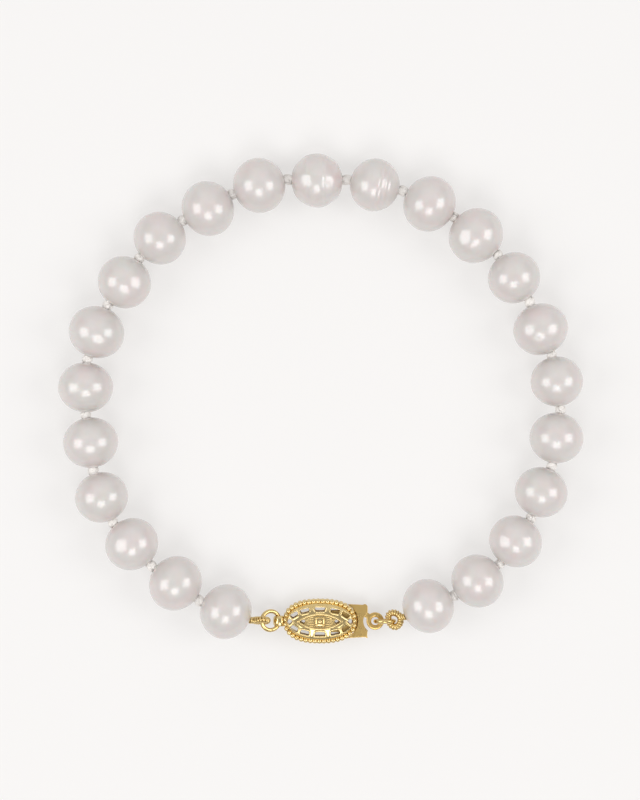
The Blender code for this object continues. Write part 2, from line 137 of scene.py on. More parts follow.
def geometry_tree(name: str, inputs: dict[str, str]) -> tuple[bpy.types.NodeTree, bpy.types.Node]:
    """Starts a geometry tree that takes a geometry and the named sizes.

    Args:
        name: The tree's name.
        inputs: The socket type of each named input.

    Returns:
        The tree and its Group Input node.
    """
    tree = bpy.data.node_groups.new(name, "GeometryNodeTree")
    tree.interface.new_socket("Geometry", in_out="INPUT", socket_type="NodeSocketGeometry")
    for label, kind in inputs.items():
        tree.interface.new_socket(label, in_out="INPUT", socket_type=kind)
    tree.interface.new_socket("Geometry", in_out="OUTPUT", socket_type="NodeSocketGeometry")
    return tree, tree.nodes.new("NodeGroupInput")


def end_tree(tree: bpy.types.NodeTree, geometry: bpy.types.NodeSocket, finish: bpy.types.Material) -> None:
    """Ends a geometry tree: real, smooth geometry that wears its finish.

    Args:
        tree: The tree to end.
        geometry: The socket that carries the shape.
        finish: The material that the shape wears.
    """
    real = add_node(tree, "GeometryNodeRealizeInstances", {"Geometry": geometry})
    smooth = add_node(tree, "GeometryNodeSetShadeSmooth", {"Geometry": real.outputs[0]})
    dressed = add_node(
        tree, "GeometryNodeSetMaterial", {"Geometry": smooth.outputs[0], "Material": finish}
    )
    add_node(tree, "NodeGroupOutput", {"Geometry": dressed.outputs[0]})


def grow(name: str, base: bpy.types.Object, tree: bpy.types.NodeTree, values: dict) -> bpy.types.Object:
    """Runs a geometry tree on a base object and keeps the result as a plain mesh.

    Args:
        name: The finished piece's name.
        base: The object that carries the tree's geometry, which is removed afterwards.
        tree: The geometry tree.
        values: A value for each of the tree's named inputs.

    Returns:
        The finished piece.
    """
    modifier = base.modifiers.new("grow", "NODES")
    modifier.node_group = tree
    for item in tree.interface.items_tree:
        if item.in_out == "INPUT" and item.name in values:
            modifier[item.identifier] = values[item.name]
    base.update_tag()
    mesh = evaluated_mesh(base)
    bpy.data.objects.remove(base)
    mesh.name = name
    return linked(name, mesh)


# Meshes


def linked(name: str, mesh: bpy.types.Mesh) -> bpy.types.Object:
    """Puts a mesh into the scene as an object at the origin.

    Args:
        name: The object's name.
        mesh: Its mesh.

    Returns:
        The object.
    """
    made = bpy.data.objects.new(name, mesh)
    bpy.context.scene.collection.objects.link(made)
    return made


def evaluated_mesh(made: bpy.types.Object) -> bpy.types.Mesh:
    """Copies the mesh that an object's modifiers give it.

    Args:
        made: The object with its modifiers.

    Returns:
        A new plain mesh.
    """
    bpy.context.view_layer.update()
    graph = bpy.context.evaluated_depsgraph_get()
    return bpy.data.meshes.new_from_object(made.evaluated_get(graph), depsgraph=graph)


def mesh_object(
    name: str,
    points: Sequence[Sequence[float]],
    faces: Sequence[Sequence[int]],
    finish: bpy.types.Material | None = None,
) -> bpy.types.Object:
    """Makes an object from points and faces, with its faces turned outwards.

    Args:
        name: The object's name.
        points: The mesh's points.
        faces: Point numbers of each face.
        finish: The material that it wears.

    Returns:
        The object, shaded smooth.
    """
    mesh = bpy.data.meshes.new(name)
    mesh.from_pydata([tuple(point) for point in points], [], faces)
    shape = bmesh.new()
    shape.from_mesh(mesh)
    bmesh.ops.recalc_face_normals(shape, faces=shape.faces)
    shape.to_mesh(mesh)
    shape.free()
    mesh.shade_smooth()
    if finish:
        mesh.materials.append(finish)
    return linked(name, mesh)


def polyline(name: str, points: Sequence[Sequence[float]], closed: bool) -> bpy.types.Object:
    """Makes a chain of edges that a geometry tree follows.

    Args:
        name: The object's name.
        points: The chain's points in order.
        closed: Whether the last point joins the first.

    Returns:
        The object with its edges.
    """
    count = len(points)
    edges = [(k, (k + 1) % count) for k in range(count if closed else count - 1)]
    mesh = bpy.data.meshes.new(name)
    mesh.from_pydata([tuple(point) for point in points], edges, [])
    return linked(name, mesh)


def round_angles(count: int) -> list[float]:
    """Lists the angles of evenly spaced points once round."""
    return [math.tau * k / count for k in range(count)]


def loft(
    name: str,
    rows: Sequence[Sequence[Sequence[float]]],
    closed: bool,
    finish: bpy.types.Material | None = None,
) -> bpy.types.Object:
    """Makes a solid from rows of points that each run once round it.

    Args:
        name: The object's name.
        rows: The rows in order, all with the same number of points.
        closed: Whether the last row joins the first; if not, each end gets one flat face.
        finish: The material that it wears.

    Returns:
        The solid.
    """
    count, columns = len(rows), len(rows[0])
    faces: list[tuple[int, ...]] = []
    for row in range(count if closed else count - 1):
        here, after = row * columns, (row + 1) % count * columns
        for column in range(columns):
            beside = (column + 1) % columns
            faces.append((here + column, here + beside, after + beside, after + column))
    if not closed:
        faces.append(tuple(range(columns)))
        faces.append(tuple((count - 1) * columns + k for k in range(columns)))
    return mesh_object(name, [point for row in rows for point in row], faces, finish)


def tube(
    name: str,
    path: Sequence[Vector],
    radius: Callable[[int], float],
    sides: int,
    closed: bool,
    finish: bpy.types.Material | None = None,
) -> bpy.types.Object:
    """Makes a closed tube whose rows of points lie square to a path.

    Args:
        name: The object's name.
        path: The path's points.
        radius: The tube's radius at each point's number.
        sides: How many sides the tube has.
        closed: Whether the path is a loop.
        finish: The material that it wears.

    Returns:
        The tube.
    """
    count = len(path)
    rows = []
    across = None
    for k, middle in enumerate(path):
        before = path[k - 1] if closed or k else middle
        after = path[(k + 1) % count] if closed or k < count - 1 else middle
        ahead = (after - before).normalized()
        if across is None:
            across = ahead.orthogonal()
        across = (across - across.dot(ahead) * ahead).normalized()
        other = ahead.cross(across)
        rows.append([
            middle + radius(k) * (math.cos(angle) * across + math.sin(angle) * other)
            for angle in round_angles(sides)
        ])
    return loft(name, rows, closed, finish)


def prism(name: str, outline: Outline, bottom: float, top: float) -> bpy.types.Object:
    """Makes a solid that stands on an outline.

    Args:
        name: The object's name.
        outline: Corners of the outline in the plane, in order.
        bottom: The lower face's height.
        top: The upper face's height.

    Returns:
        The solid.
    """
    return loft(name, [[(x, y, z) for x, y in outline] for z in (bottom, top)], False)


def joined(name: str, parts: Sequence[bpy.types.Object]) -> bpy.types.Object:
    """Puts several objects into the first one's mesh and removes the others.

    Args:
        name: The joined object's name.
        parts: Objects at the origin that wear the same finish.

    Returns:
        The joined object.
    """
    shape = bmesh.new()
    for part in parts:
        shape.from_mesh(part.data)
    made = parts[0]
    shape.to_mesh(made.data)
    shape.free()
    made.data.shade_smooth()
    for part in parts[1:]:
        bpy.data.objects.remove(part)
    made.name = name
    return made


def combine(made: bpy.types.Object, helpers: Sequence[bpy.types.Object], operation: str) -> None:
    """Adds helper solids to an object's mesh or takes them out of it, in one step.

    Args:
        made: The object whose mesh changes.
        helpers: Closed solids, which are removed afterwards.
        operation: UNION or DIFFERENCE.
    """
    group = bpy.data.collections.new("helpers")
    bpy.context.scene.collection.children.link(group)
    for helper in helpers:
        bpy.context.scene.collection.objects.unlink(helper)
        group.objects.link(helper)
    modifier = made.modifiers.new("combine", "BOOLEAN")
    modifier.operand_type = "COLLECTION"
    modifier.collection = group
    modifier.operation = operation
    modifier.solver = "EXACT"
    bake_modifiers(made)
    for helper in helpers:
        bpy.data.objects.remove(helper)
    bpy.data.collections.remove(group)


def bake_modifiers(made: bpy.types.Object) -> None:
    """Keeps an object's evaluated mesh as its own and takes its modifiers off.

    Args:
        made: The object.
    """
    mesh = evaluated_mesh(made)
    made.modifiers.clear()
    before = made.data
    made.data = mesh
    bpy.data.meshes.remove(before)


def melt_edges(
    made: bpy.types.Object, voxel: float, smoothing: int, most_faces: int, finish: bpy.types.Material
) -> None:
    """Fuses an object's parts into one skin with soft edges, as a casting comes out of its mould.

    Args:
        made: The object, whose closed parts may overlap.
        voxel: The size of the skin's squares.
        smoothing: How many times the skin is relaxed.
        most_faces: How many triangles may be left.
        finish: The material that the skin wears.
    """
    remesh = made.modifiers.new("skin", "REMESH")
    remesh.mode = "VOXEL"
    remesh.voxel_size = voxel
    relax = made.modifiers.new("relax", "SMOOTH")
    relax.factor = 0.5
    relax.iterations = smoothing
    bake_modifiers(made)
    triangles = 2 * len(made.data.polygons)
    if triangles > most_faces:
        thin = made.modifiers.new("thin", "DECIMATE")
        thin.ratio = most_faces / triangles
        bake_modifiers(made)
    made.data.shade_smooth()
    made.data.materials.clear()
    made.data.materials.append(finish)


def mesh_points(mesh: bpy.types.Mesh) -> np.ndarray:
    """Reads a mesh's points.

    Args:
        mesh: The mesh.

    Returns:
        One row for each point.
    """
    flat = np.empty(3 * len(mesh.vertices))
    mesh.vertices.foreach_get("co", flat)
    return flat.reshape(-1, 3)


def node_points(node: str) -> np.ndarray:
    """Reads the places of a CAD node's points, in metres."""
    return mesh_points(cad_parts[node].data)


def kept_in_box(piece: bpy.types.Object) -> None:
    """Moves the few points that a rounder surface pushes out of the CAD box back onto its sides.

    Args:
        piece: The piece, in metres at the origin.
    """
    low, high = (np.array(corner) for corner in CAD_BOX)
    inside = np.clip(mesh_points(piece.data), low, high)
    piece.data.vertices.foreach_set("co", inside.ravel())
    piece.data.update()


def settle(piece: bpy.types.Object, node: str) -> None:
    """Hands a finished piece to the frame.

    Args:
        piece: The piece, in metres at the origin.
        node: The CAD node that it stands for.
    """
    kept_in_box(piece)
    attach(piece, "root")
    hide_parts(node)
    LOG.info("%s: %d faces, stands for %s", piece.name, len(piece.data.polygons), node)


# Finishes


@dataclass(frozen=True)
class PearlNacre:
    """Freshwater pearl nacre: thin layers of aragonite that grew on each other, polished smooth.

    Light goes a little way in and comes back soft and even, while the polished skin throws small blurred
    highlights. Thin layers tint the body faintly pink and grey-green in broad patches.
    """

    name: str = "nacre_cream_pearl"
    cream: str = "#CCC6C2"
    rose: str = "#D0C1BE"
    green: str = "#C5C4BD"
    roughness: float = 0.38
    patch_mm: float = 3.2
    skin_mm: float = 0.55

    def build(self) -> bpy.types.Material:
        """Builds the nacre's material.

        Returns:
            The material.
        """
        made, tree = new_material(self.name)
        place = add_node(tree, "ShaderNodeTexCoord").outputs["Object"]
        patches = add_node(
            tree, "ShaderNodeTexNoise",
            {"Vector": place, "Scale": 1 / (self.patch_mm * MM), "Detail": 2.0, "Roughness": 0.45},
        )
        other = add_node(
            tree, "ShaderNodeTexNoise",
            {"Vector": place, "Scale": 0.8 / (self.patch_mm * MM), "Detail": 1.0, "Distortion": 0.6},
        )
        rose_share = add_node(
            tree, "ShaderNodeMapRange",
            {"Value": patches.outputs[0], "From Min": 0.45, "From Max": 0.75, "To Max": 0.7},
        )
        green_share = add_node(
            tree, "ShaderNodeMapRange",
            {"Value": other.outputs[0], "From Min": 0.52, "From Max": 0.8, "To Max": 0.6},
        )
        rosy = add_node(
            tree, "ShaderNodeMix",
            {0: rose_share.outputs[0], 6: linear(self.cream), 7: linear(self.rose)}, data_type="RGBA",
        )
        body = add_node(
            tree, "ShaderNodeMix",
            {0: green_share.outputs[0], 6: rosy.outputs[2], 7: linear(self.green)}, data_type="RGBA",
        )
        skin = add_node(
            tree, "ShaderNodeTexNoise",
            {"Vector": place, "Scale": 1 / (self.skin_mm * MM), "Detail": 3.0, "Roughness": 0.55},
        )
        gloss = add_node(
            tree, "ShaderNodeMapRange",
            {"Value": skin.outputs[0], "To Min": self.roughness - 0.05, "To Max": self.roughness + 0.07},
        )
        bump = add_node(
            tree, "ShaderNodeBump",
            {"Height": skin.outputs[0], "Strength": 0.1, "Distance": 0.03 * MM},
        )
        shader = add_node(
            tree, "ShaderNodeBsdfPrincipled",
            {
                "Base Color": body.outputs[2],
                "Roughness": gloss.outputs[0],
                "Normal": bump.outputs[0],
                "IOR": 1.64,
                "Specular IOR Level": 0.6,
                "Subsurface Weight": 0.12,
                "Subsurface Scale": 0.4 * MM,
                "Coat Weight": 1.0,
                "Coat Roughness": 0.18,
                "Coat IOR": 1.6,
            },
        )
        add_node(tree, "ShaderNodeOutputMaterial", {"Surface": shader.outputs[0]})
        return made


@dataclass(frozen=True)
class TwistedSilk:
    """Bleached silk bead cord: fine filaments twisted together.

    It looks soft and near white, with a faint sheen along the lay of the twist and no gloss.
    """

    name: str = "silk_white_twisted"
    white: str = "#F2EFEB"
    shade: str = "#E3DED8"
    filament_mm: float = 0.07

    def build(self) -> bpy.types.Material:
        """Builds the silk's material.

        Returns:
            The material.
        """
        made, tree = new_material(self.name)
        place = add_node(tree, "ShaderNodeTexCoord").outputs["Object"]
        # Silk filaments are about 0.01 mm; they are drawn seven times as coarse, so that they show.
        fibres = add_node(
            tree, "ShaderNodeTexNoise",
            {"Vector": place, "Scale": 1 / (self.filament_mm * MM), "Detail": 2.0},
        )
        colour = add_node(
            tree, "ShaderNodeMix",
            {0: fibres.outputs[0], 6: linear(self.shade), 7: linear(self.white)}, data_type="RGBA",
        )
        bump = add_node(
            tree, "ShaderNodeBump",
            {"Height": fibres.outputs[0], "Strength": 0.25, "Distance": 0.02 * MM},
        )
        shader = add_node(
            tree, "ShaderNodeBsdfPrincipled",
            {
                "Base Color": colour.outputs[2],
                "Roughness": 0.7,
                "Sheen Weight": 0.25,
                "Sheen Roughness": 0.4,
                "Normal": bump.outputs[0],
            },
        )
        add_node(tree, "ShaderNodeOutputMaterial", {"Surface": shader.outputs[0]})
        return made


class Metalwork(Enum):
    """How a piece of gold was made: its roughness, its painted shade in the hollows and its two tones."""

    CAST = (0.18, 0.9, "#E7D29D", "#D3B677")
    SHEET = (0.27, 0.5, "#DFBF7C", "#D1AD66")
    WIRE = (0.19, 0.8, "#E2C98F", "#CDB073")


@dataclass(frozen=True)
class YellowGold:
    """Fourteen-carat yellow gold, polished after it was cast, rolled or drawn.

    A warm yellow metal with soft wide reflections, brighter where fingers and the polishing mop reach.
    Its hollows, where the surface bends inwards, are painted brown as shade.
    """

    work: Metalwork
    # Colour of the painted shade in the hollows.
    hollow: str = "#7A6434"
    stain_mm: float = 0.9
    grain_mm: float = 0.12

    def build(self) -> bpy.types.Material:
        """Builds the gold's material.

        Returns:
            The material.
        """
        roughness, hollow_shade_strength, bright, worn = self.work.value
        made, tree = new_material(f"gold_yellow_{self.work.name.lower()}")
        place = add_node(tree, "ShaderNodeTexCoord").outputs["Object"]
        stains = add_node(
            tree, "ShaderNodeTexNoise",
            {"Vector": place, "Scale": 1 / (self.stain_mm * MM), "Detail": 3.0},
        )
        grain = add_node(
            tree, "ShaderNodeTexNoise",
            {"Vector": place, "Scale": 1 / (self.grain_mm * MM), "Detail": 2.0},
        )
        outer = add_node(
            tree, "ShaderNodeMix",
            {0: stains.outputs[0], 6: linear(bright), 7: linear(worn)}, data_type="RGBA",
        )
        # Painted shade: where the surface bends inwards, the colour is mixed towards the dark hollow colour.
        bend = add_node(tree, "ShaderNodeNewGeometry").outputs["Pointiness"]
        hollow_shade_share = add_node(
            tree, "ShaderNodeMapRange",
            {"Value": bend, "From Min": 0.495, "From Max": 0.45, "To Max": hollow_shade_strength},
        )
        colour = add_node(
            tree, "ShaderNodeMix",
            {0: hollow_shade_share.outputs[0], 6: outer.outputs[2], 7: linear(self.hollow)}, data_type="RGBA",
        )
        gloss = add_node(
            tree, "ShaderNodeMapRange",
            {"Value": stains.outputs[0], "To Min": roughness - 0.06, "To Max": roughness + 0.1},
        )
        bump = add_node(
            tree, "ShaderNodeBump",
            {"Height": grain.outputs[0], "Strength": 0.25, "Distance": 0.015 * MM},
        )
        shader = add_node(
            tree, "ShaderNodeBsdfPrincipled",
            {
                "Base Color": colour.outputs[2],
                "Metallic": 1.0,
                "Roughness": gloss.outputs[0],
                "Normal": bump.outputs[0],
            },
        )
        add_node(tree, "ShaderNodeOutputMaterial", {"Surface": shader.outputs[0]})
        return made


@dataclass(frozen=True)
class OpalAcrylic:
    """Opal acrylic of a light table: a matt pale white that also glows faintly from below."""

    name: str = "acrylic_opal_pale"
    colour: str = "#989796"
    light: str = "#FFFDFB"
    glow: float = 0.55
    tooth_per_metre: float = 1800.0

    def build(self) -> bpy.types.Material:
        """Builds the acrylic's material.

        Returns:
            The material.
        """
        made, tree = new_material(self.name)
        place = add_node(tree, "ShaderNodeTexCoord").outputs["Object"]
        tooth = add_node(
            tree, "ShaderNodeTexNoise", {"Vector": place, "Scale": self.tooth_per_metre, "Detail": 2.0}
        )
        bump = add_node(
            tree, "ShaderNodeBump",
            {"Height": tooth.outputs[0], "Strength": 0.05, "Distance": 0.02 * MM},
        )
        shader = add_node(
            tree, "ShaderNodeBsdfPrincipled",
            {
                "Base Color": linear(self.colour),
                "Roughness": 0.85,
                "Normal": bump.outputs[0],
                "Emission Color": linear(self.light),
                "Emission Strength": self.glow,
            },
        )
        add_node(tree, "ShaderNodeOutputMaterial", {"Surface": shader.outputs[0]})
        return made


# The string of pearls


@dataclass(frozen=True)
class PearlTrait:
    """What sets one pearl apart from its neighbours.

    Attributes:
        dents: Depth of broad hollows in its skin, in millimetres.
        dent_size: Width of those hollows, in millimetres.
        grooves: Places of rings round the hole, as shares of the half length.
        groove_depth: Depth of the rings, in millimetres.
        pits: Single hollows: how far east and north they face, their radius and depth in millimetres.
        rows: How many rows of points the skin and the hole have.
        sides: How many points a row has.
    """

    dents: float = 0.022
    dent_size: float = 2.6
    grooves: tuple[float, ...] = ()
    groove_depth: float = 0.0
    pits: tuple[tuple[float, float, float, float], ...] = ()
    rows: int = 60
    sides: int = 84


@dataclass(frozen=True)
class DrilledPearl:
    """Where one pearl lies: its centre, the way its hole runs and its half sizes, in metres."""

    centre: Vector
    ahead: Vector
    half_length: float
    half_width: float
    half_height: float

    @classmethod
    def from_node(cls, node: str) -> "DrilledPearl":
        """Reads a pearl's place from its CAD solid.

        Args:
            node: The pearl's CAD node.

        Returns:
            The pearl's place, with its hole running clockwise round the loop.
        """
        points = node_points(node)
        centre = (points.min(0) + points.max(0)) / 2
        pairs = np.array([tuple(edge.vertices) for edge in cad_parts[node].data.edges])
        spans = points[pairs[:, 1]] - points[pairs[:, 0]]
        lengths = np.linalg.norm(spans, axis=1)
        # A pearl's longest edges are those that run the whole length of its hole.
        along = spans[lengths > 0.8 * lengths.max()]
        clockwise = np.array((centre[1], -centre[0], 0.0))
        along *= np.sign(along @ clockwise)[:, None]
        ahead = along.mean(0)
        ahead /= np.linalg.norm(ahead)
        side = np.cross((0.0, 0.0, 1.0), ahead)
        reach = np.abs((points - centre) @ np.stack((ahead, side), axis=1)).max(0)
        # The pearl rests on the table, so its centre lies half its height up.
        return cls(Vector(centre), Vector(ahead), float(reach[0]), float(reach[1]), float(centre[2]))

    def end(self, side: int) -> Vector:
        """The hole's mouth at the pearl's far (1) or near (-1) end."""
        return self.centre + side * self.half_length * self.ahead


@dataclass
class PearlString:
    """The twenty-three drilled pearls.

    Attributes:
        hole_radius: Radius of the drilled hole, in millimetres.
        mouth_radius: Radius of the hole's mouth.
        tunnel_rows: How many rows of points lie inside the hole.
        fade_rows: Over how many rows the skin's unevenness dies out towards a mouth.
        rounder: How much wider the smooth skin is than the faceted solid.
        groove_width: Width of a groove, as a share of the pearl's half length.
        ripple: Size and depth of the fine unevenness that every pearl has.
        seed: Starts the unevenness of the whole string.
        seed_step: How far apart two pearls' unevenness is taken.
        traits: The pearls that stand out, by number.
    """

    hole_radius: float = 0.45
    mouth_radius: float = 0.52
    tunnel_rows: int = 5
    fade_rows: int = 4
    rounder: float = 1.012
    groove_width: float = 0.05
    ripple: tuple[float, float] = (0.8, 0.006)
    seed: int = 41
    seed_step: Point = (7.3, 1.9, 4.1)

    traits: ClassVar[dict[int, PearlTrait]] = {
        3: PearlTrait(pits=((-0.42, 0.04, 1.7, 0.16),)),
        7: PearlTrait(dents=0.03, dent_size=1.9, pits=((0.18, -0.31, 0.42, 0.05),), rows=88, sides=124),
        8: PearlTrait(dents=0.03, pits=((0.46, 0.02, 1.4, 0.1), (0.0, -0.42, 1.2, 0.07))),
        12: PearlTrait(
            dents=0.1, dent_size=1.5, grooves=(-0.35, 0.28), groove_depth=0.03,
            pits=((-0.46, -0.08, 0.8, 0.07), (-0.06, -0.42, 0.5, 0.05), (0.42, -0.16, 0.6, 0.05)),
            rows=88, sides=124,
        ),
        13: PearlTrait(dents=0.03, grooves=(0.2, 0.37, 0.55), groove_depth=0.05, rows=88, sides=124),
        15: PearlTrait(dents=0.06, dent_size=1.7, pits=((-0.5, -0.12, 0.8, 0.06),)),
        17: PearlTrait(
            dents=0.03, pits=((-0.17, -0.38, 0.42, 0.05), (-0.5, 0.06, 0.6, 0.035)), rows=88, sides=124
        ),
        20: PearlTrait(dents=0.03, dent_size=1.8),
        21: PearlTrait(dents=0.04, dent_size=1.9, pits=((-0.5, 0.1, 0.9, 0.06),)),
    }

    def build(self, nacre: bpy.types.Material) -> list[DrilledPearl]:
        """Builds every pearl.

        Args:
            nacre: The pearls' material.

        Returns:
            Where each pearl lies, clockwise from the one left of the clasp.
        """
        places = []
        for number in range(1, PEARL_COUNT + 1):
            node = f"pearl_{number:02d}"
            place = DrilledPearl.from_node(node)
            places.append(place)
            rows = self.surface(place, self.traits.get(number, PearlTrait()), number)
            settle(loft(f"{node}_nacre", rows, True, nacre), node)
        return places

    def profile(self, place: DrilledPearl, count: int) -> list[tuple[float, float, float]]:
        """Draws half a pearl's outline from mouth to mouth, then back through the drilled hole.

        Args:
            place: The pearl.
            count: How many rows the outline has.

        Returns:
            The place along the hole, the distance from it, and how far the skin's unevenness counts.
        """
        half_length = place.half_length / MM
        half_width = place.half_width * self.rounder / MM
        start = math.asin(self.mouth_radius / half_width)
        skin_rows = count - self.tunnel_rows
        rows = []
        for k in range(skin_rows):
            angle = start + (math.pi - 2 * start) * k / (skin_rows - 1)
            fade = min(1.0, min(k, skin_rows - 1 - k) / self.fade_rows)
            along = half_length * math.cos(angle) / math.cos(start)
            rows.append((along, half_width * math.sin(angle), fade))
        lip = self.mouth_radius - self.hole_radius
        for k in range(self.tunnel_rows):
            share = (k + 0.5) / self.tunnel_rows * 2 - 1
            rows.append((share * (half_length - lip), self.hole_radius, 0.0))
        return rows

    def surface(self, place: DrilledPearl, trait: PearlTrait, number: int) -> list[list[Vector]]:
        """Lays a pearl's rows of points round its hole.

        Args:
            place: Where the pearl lies.
            trait: How uneven it is.
            number: The pearl's number, which also seeds its unevenness.

        Returns:
            The rows, in metres.
        """
        up = Vector((0, 0, 1))
        side = up.cross(place.ahead).normalized()
        flatter = place.half_height / (place.half_width * self.rounder)
        shift = Vector(self.seed_step) * (number + self.seed)
        ripple_size, ripple_depth = self.ripple
        pits = [
            (Vector((east, north, math.sqrt(1 - east ** 2 - north ** 2))), size, depth)
            for east, north, size, depth in trait.pits
        ]
        rows = []
        for along, out, fade in self.profile(place, trait.rows):
            share = along * MM / place.half_length
            groove = sum(
                trait.groove_depth * math.exp(-(((share - spot) / self.groove_width) ** 2))
                for spot in trait.grooves
            )
            row = []
            for angle in round_angles(trait.sides):
                point = along * place.ahead + out * (math.cos(angle) * side + math.sin(angle) * flatter * up)
                rough = noise.noise(point / trait.dent_size + shift) * trait.dents
                rough += noise.noise(point / ripple_size + shift) * ripple_depth
                facing_out = point.normalized()
                for facing, size, depth in pits:
                    off = (facing_out - facing).length * point.length
                    rough -= depth * math.exp(-((off / size) ** 2))
                point += (rough - groove) * fade * facing_out
                row.append(place.centre + MM * point)
            rows.append(row)
        return rows


# The knotted silk


@dataclass
class KnottedSilk:
    """The silk thread through all the pearls and the overhand knots between them.

    The thread's sizes are in millimetres. A knot is shaped about one unit long and then stretched into its
    gap, so its own sizes are shares of that unit.

    Attributes:
        thread_radius: The thread's mean radius.
        plies: How many strands are twisted together.
        lobes: How far each ply stands out, as a share of the radius.
        twist_mm: Length of one full twist.
        step_mm: How closely the thread's rings of points follow each other.
        knot_ring: Mean radius of the knot's weave.
        knot_swing: How far the weave swings in and out.
        knot_thread: Radius of the thread in the weave.
        knot_sides: How many sides that thread has.
        knot_steps: How many steps the weave takes.
        knot_girth: Millimetres that one unit of the knot measures across the thread.
        knot_tuck: How much longer a knot is than its gap, in millimetres, pressed into the hole mouths.
        knot_heart: Half length and radius of the filling inside the weave.
        seed: Starts the knots' random turns.
    """

    thread_radius: float = 0.21
    plies: float = 3.0
    lobes: float = 0.16
    twist_mm: float = 1.1
    step_mm: float = 0.12
    knot_ring: float = 0.25
    knot_swing: float = 0.11
    knot_thread: float = 0.19
    knot_sides: int = 10
    knot_steps: int = 96
    knot_girth: float = 1.34
    knot_tuck: float = 0.34
    knot_heart: tuple[float, float] = (0.34, 0.42)
    seed: int = 7

    def build(self, places: Sequence[DrilledPearl], silk: bpy.types.Material) -> None:
        """Builds the thread and its knots.

        Args:
            places: The pearls in order.
            silk: The silk's material.
        """
        for piece in (self.thread(places, silk), self.knots(places, silk)):
            settle(piece, "silk_strand")

    def thread(self, places: Sequence[DrilledPearl], silk: bpy.types.Material) -> bpy.types.Object:
        """Runs the thread along the pearls' holes.

        Args:
            places: The pearls in order.
            silk: The silk's material.

        Returns:
            The thread.
        """
        points = []
        for pearl in places:
            points += [pearl.end(-1), pearl.centre, pearl.end(1)]
        values = {
            "Thread Radius": self.thread_radius * MM,
            "Lobes": self.lobes,
            "Plies": self.plies,
            "Turns Per Metre": 1 / (self.twist_mm * MM),
            "Step": self.step_mm * MM,
        }
        line = polyline("thread_line", points, False)
        return grow("silk_thread", line, self.thread_tree(silk), values)

    @staticmethod
    def thread_tree(silk: bpy.types.Material) -> bpy.types.NodeTree:
        """Builds the tree that sweeps a twisted section of several plies along a line.

        Args:
            silk: The silk's material.

        Returns:
            The geometry tree.
        """
        sizes = ("Thread Radius", "Lobes", "Plies", "Turns Per Metre", "Step")
        tree, given = geometry_tree("silk_thread", {name: "NodeSocketFloat" for name in sizes})
        line = add_node(tree, "GeometryNodeMeshToCurve", {0: given.outputs["Geometry"]})
        even = add_node(
            tree, "GeometryNodeResampleCurve", {"Curve": line.outputs[0], "Length": given.outputs["Step"]},
            mode="LENGTH",
        )
        run = add_node(tree, "GeometryNodeSplineParameter").outputs["Length"]
        turn = add_node(
            tree, "ShaderNodeMath", {0: run, 1: given.outputs["Turns Per Metre"]}, operation="MULTIPLY"
        )
        angle = add_node(tree, "ShaderNodeMath", {0: turn.outputs[0], 1: math.tau}, operation="MULTIPLY")
        twisted = add_node(
            tree, "GeometryNodeSetCurveTilt", {"Curve": even.outputs[0], "Tilt": angle.outputs[0]}
        )
        ring = add_node(
            tree, "GeometryNodeCurvePrimitiveCircle",
            {"Resolution": 24, "Radius": given.outputs["Thread Radius"]}, mode="RADIUS",
        )
        place = add_node(tree, "GeometryNodeInputPosition").outputs[0]
        parts = add_node(tree, "ShaderNodeSeparateXYZ", {0: place})
        around = add_node(
            tree, "ShaderNodeMath", {0: parts.outputs[1], 1: parts.outputs[0]}, operation="ARCTAN2"
        )
        plies = add_node(
            tree, "ShaderNodeMath", {0: around.outputs[0], 1: given.outputs["Plies"]}, operation="MULTIPLY"
        )
        wave = add_node(tree, "ShaderNodeMath", {0: plies.outputs[0]}, operation="COSINE")
        swell = add_node(
            tree, "ShaderNodeMath", {0: wave.outputs[0], 1: given.outputs["Lobes"]}, operation="MULTIPLY"
        )
        offset = add_node(
            tree, "ShaderNodeVectorMath", {0: place, "Scale": swell.outputs[0]}, operation="SCALE"
        )
        lobed = add_node(
            tree, "GeometryNodeSetPosition", {"Geometry": ring.outputs[0], "Offset": offset.outputs[0]}
        )
        swept = add_node(
            tree, "GeometryNodeCurveToMesh",
            {"Curve": twisted.outputs[0], "Profile Curve": lobed.outputs[0], "Fill Caps": True},
        )
        end_tree(tree, swept.outputs[0], silk)
        return tree

    def knots(self, places: Sequence[DrilledPearl], silk: bpy.types.Material) -> bpy.types.Object:
        """Sets a knot into each gap between two pearls.

        Args:
            places: The pearls in order.
            silk: The silk's material.

        Returns:
            All the knots as one piece.
        """
        gaps = [(before.end(1), after.end(-1)) for before, after in zip(places, places[1:])]
        base = polyline("knot_points", [(start + end) / 2 for start, end in gaps], False)
        for name in ("ahead", "size"):
            base.data.attributes.new(name, "FLOAT_VECTOR", "POINT")
        directions, sizes = (base.data.attributes[name] for name in ("ahead", "size"))
        knot_length = 2 * (self.knot_swing + self.knot_thread)
        for k, (start, end) in enumerate(gaps):
            span = end - start
            stretch = (span.length / MM + self.knot_tuck) / knot_length
            directions.data[k].vector = span.normalized()
            sizes.data[k].vector = (stretch * MM, self.knot_girth * MM, self.knot_girth * MM)
        shape = self.knot_shape()
        made = grow("silk_knots", base, self.knot_tree(silk), {"Knot": shape, "Seed": self.seed})
        bpy.data.objects.remove(shape)
        return made

    def knot_shape(self) -> bpy.types.Object:
        """Makes one knot about the origin: a tight threefold weave round the X axis and its filling.

        Returns:
            The knot.
        """
        path = []
        for turn in round_angles(self.knot_steps):
            out = self.knot_ring + self.knot_swing * math.cos(3 * turn)
            along = self.knot_swing * math.sin(3 * turn)
            path.append(Vector((along, out * math.cos(2 * turn), out * math.sin(2 * turn))))
        weave = tube("knot_shape", path, lambda k: self.knot_thread, self.knot_sides, True)
        half_length, girth = self.knot_heart
        shares = [k / 6 - 1 for k in range(13)]
        heart = [Vector((half_length * share, 0, 0)) for share in shares]
        # A little over one, so that the filling's ends are blunt and not pinched to a point.
        filled = tube("heart", heart, lambda k: girth * math.sqrt(max(1.04 - shares[k] ** 2, 0)), 16, False)
        return joined("knot_shape", [weave, filled])

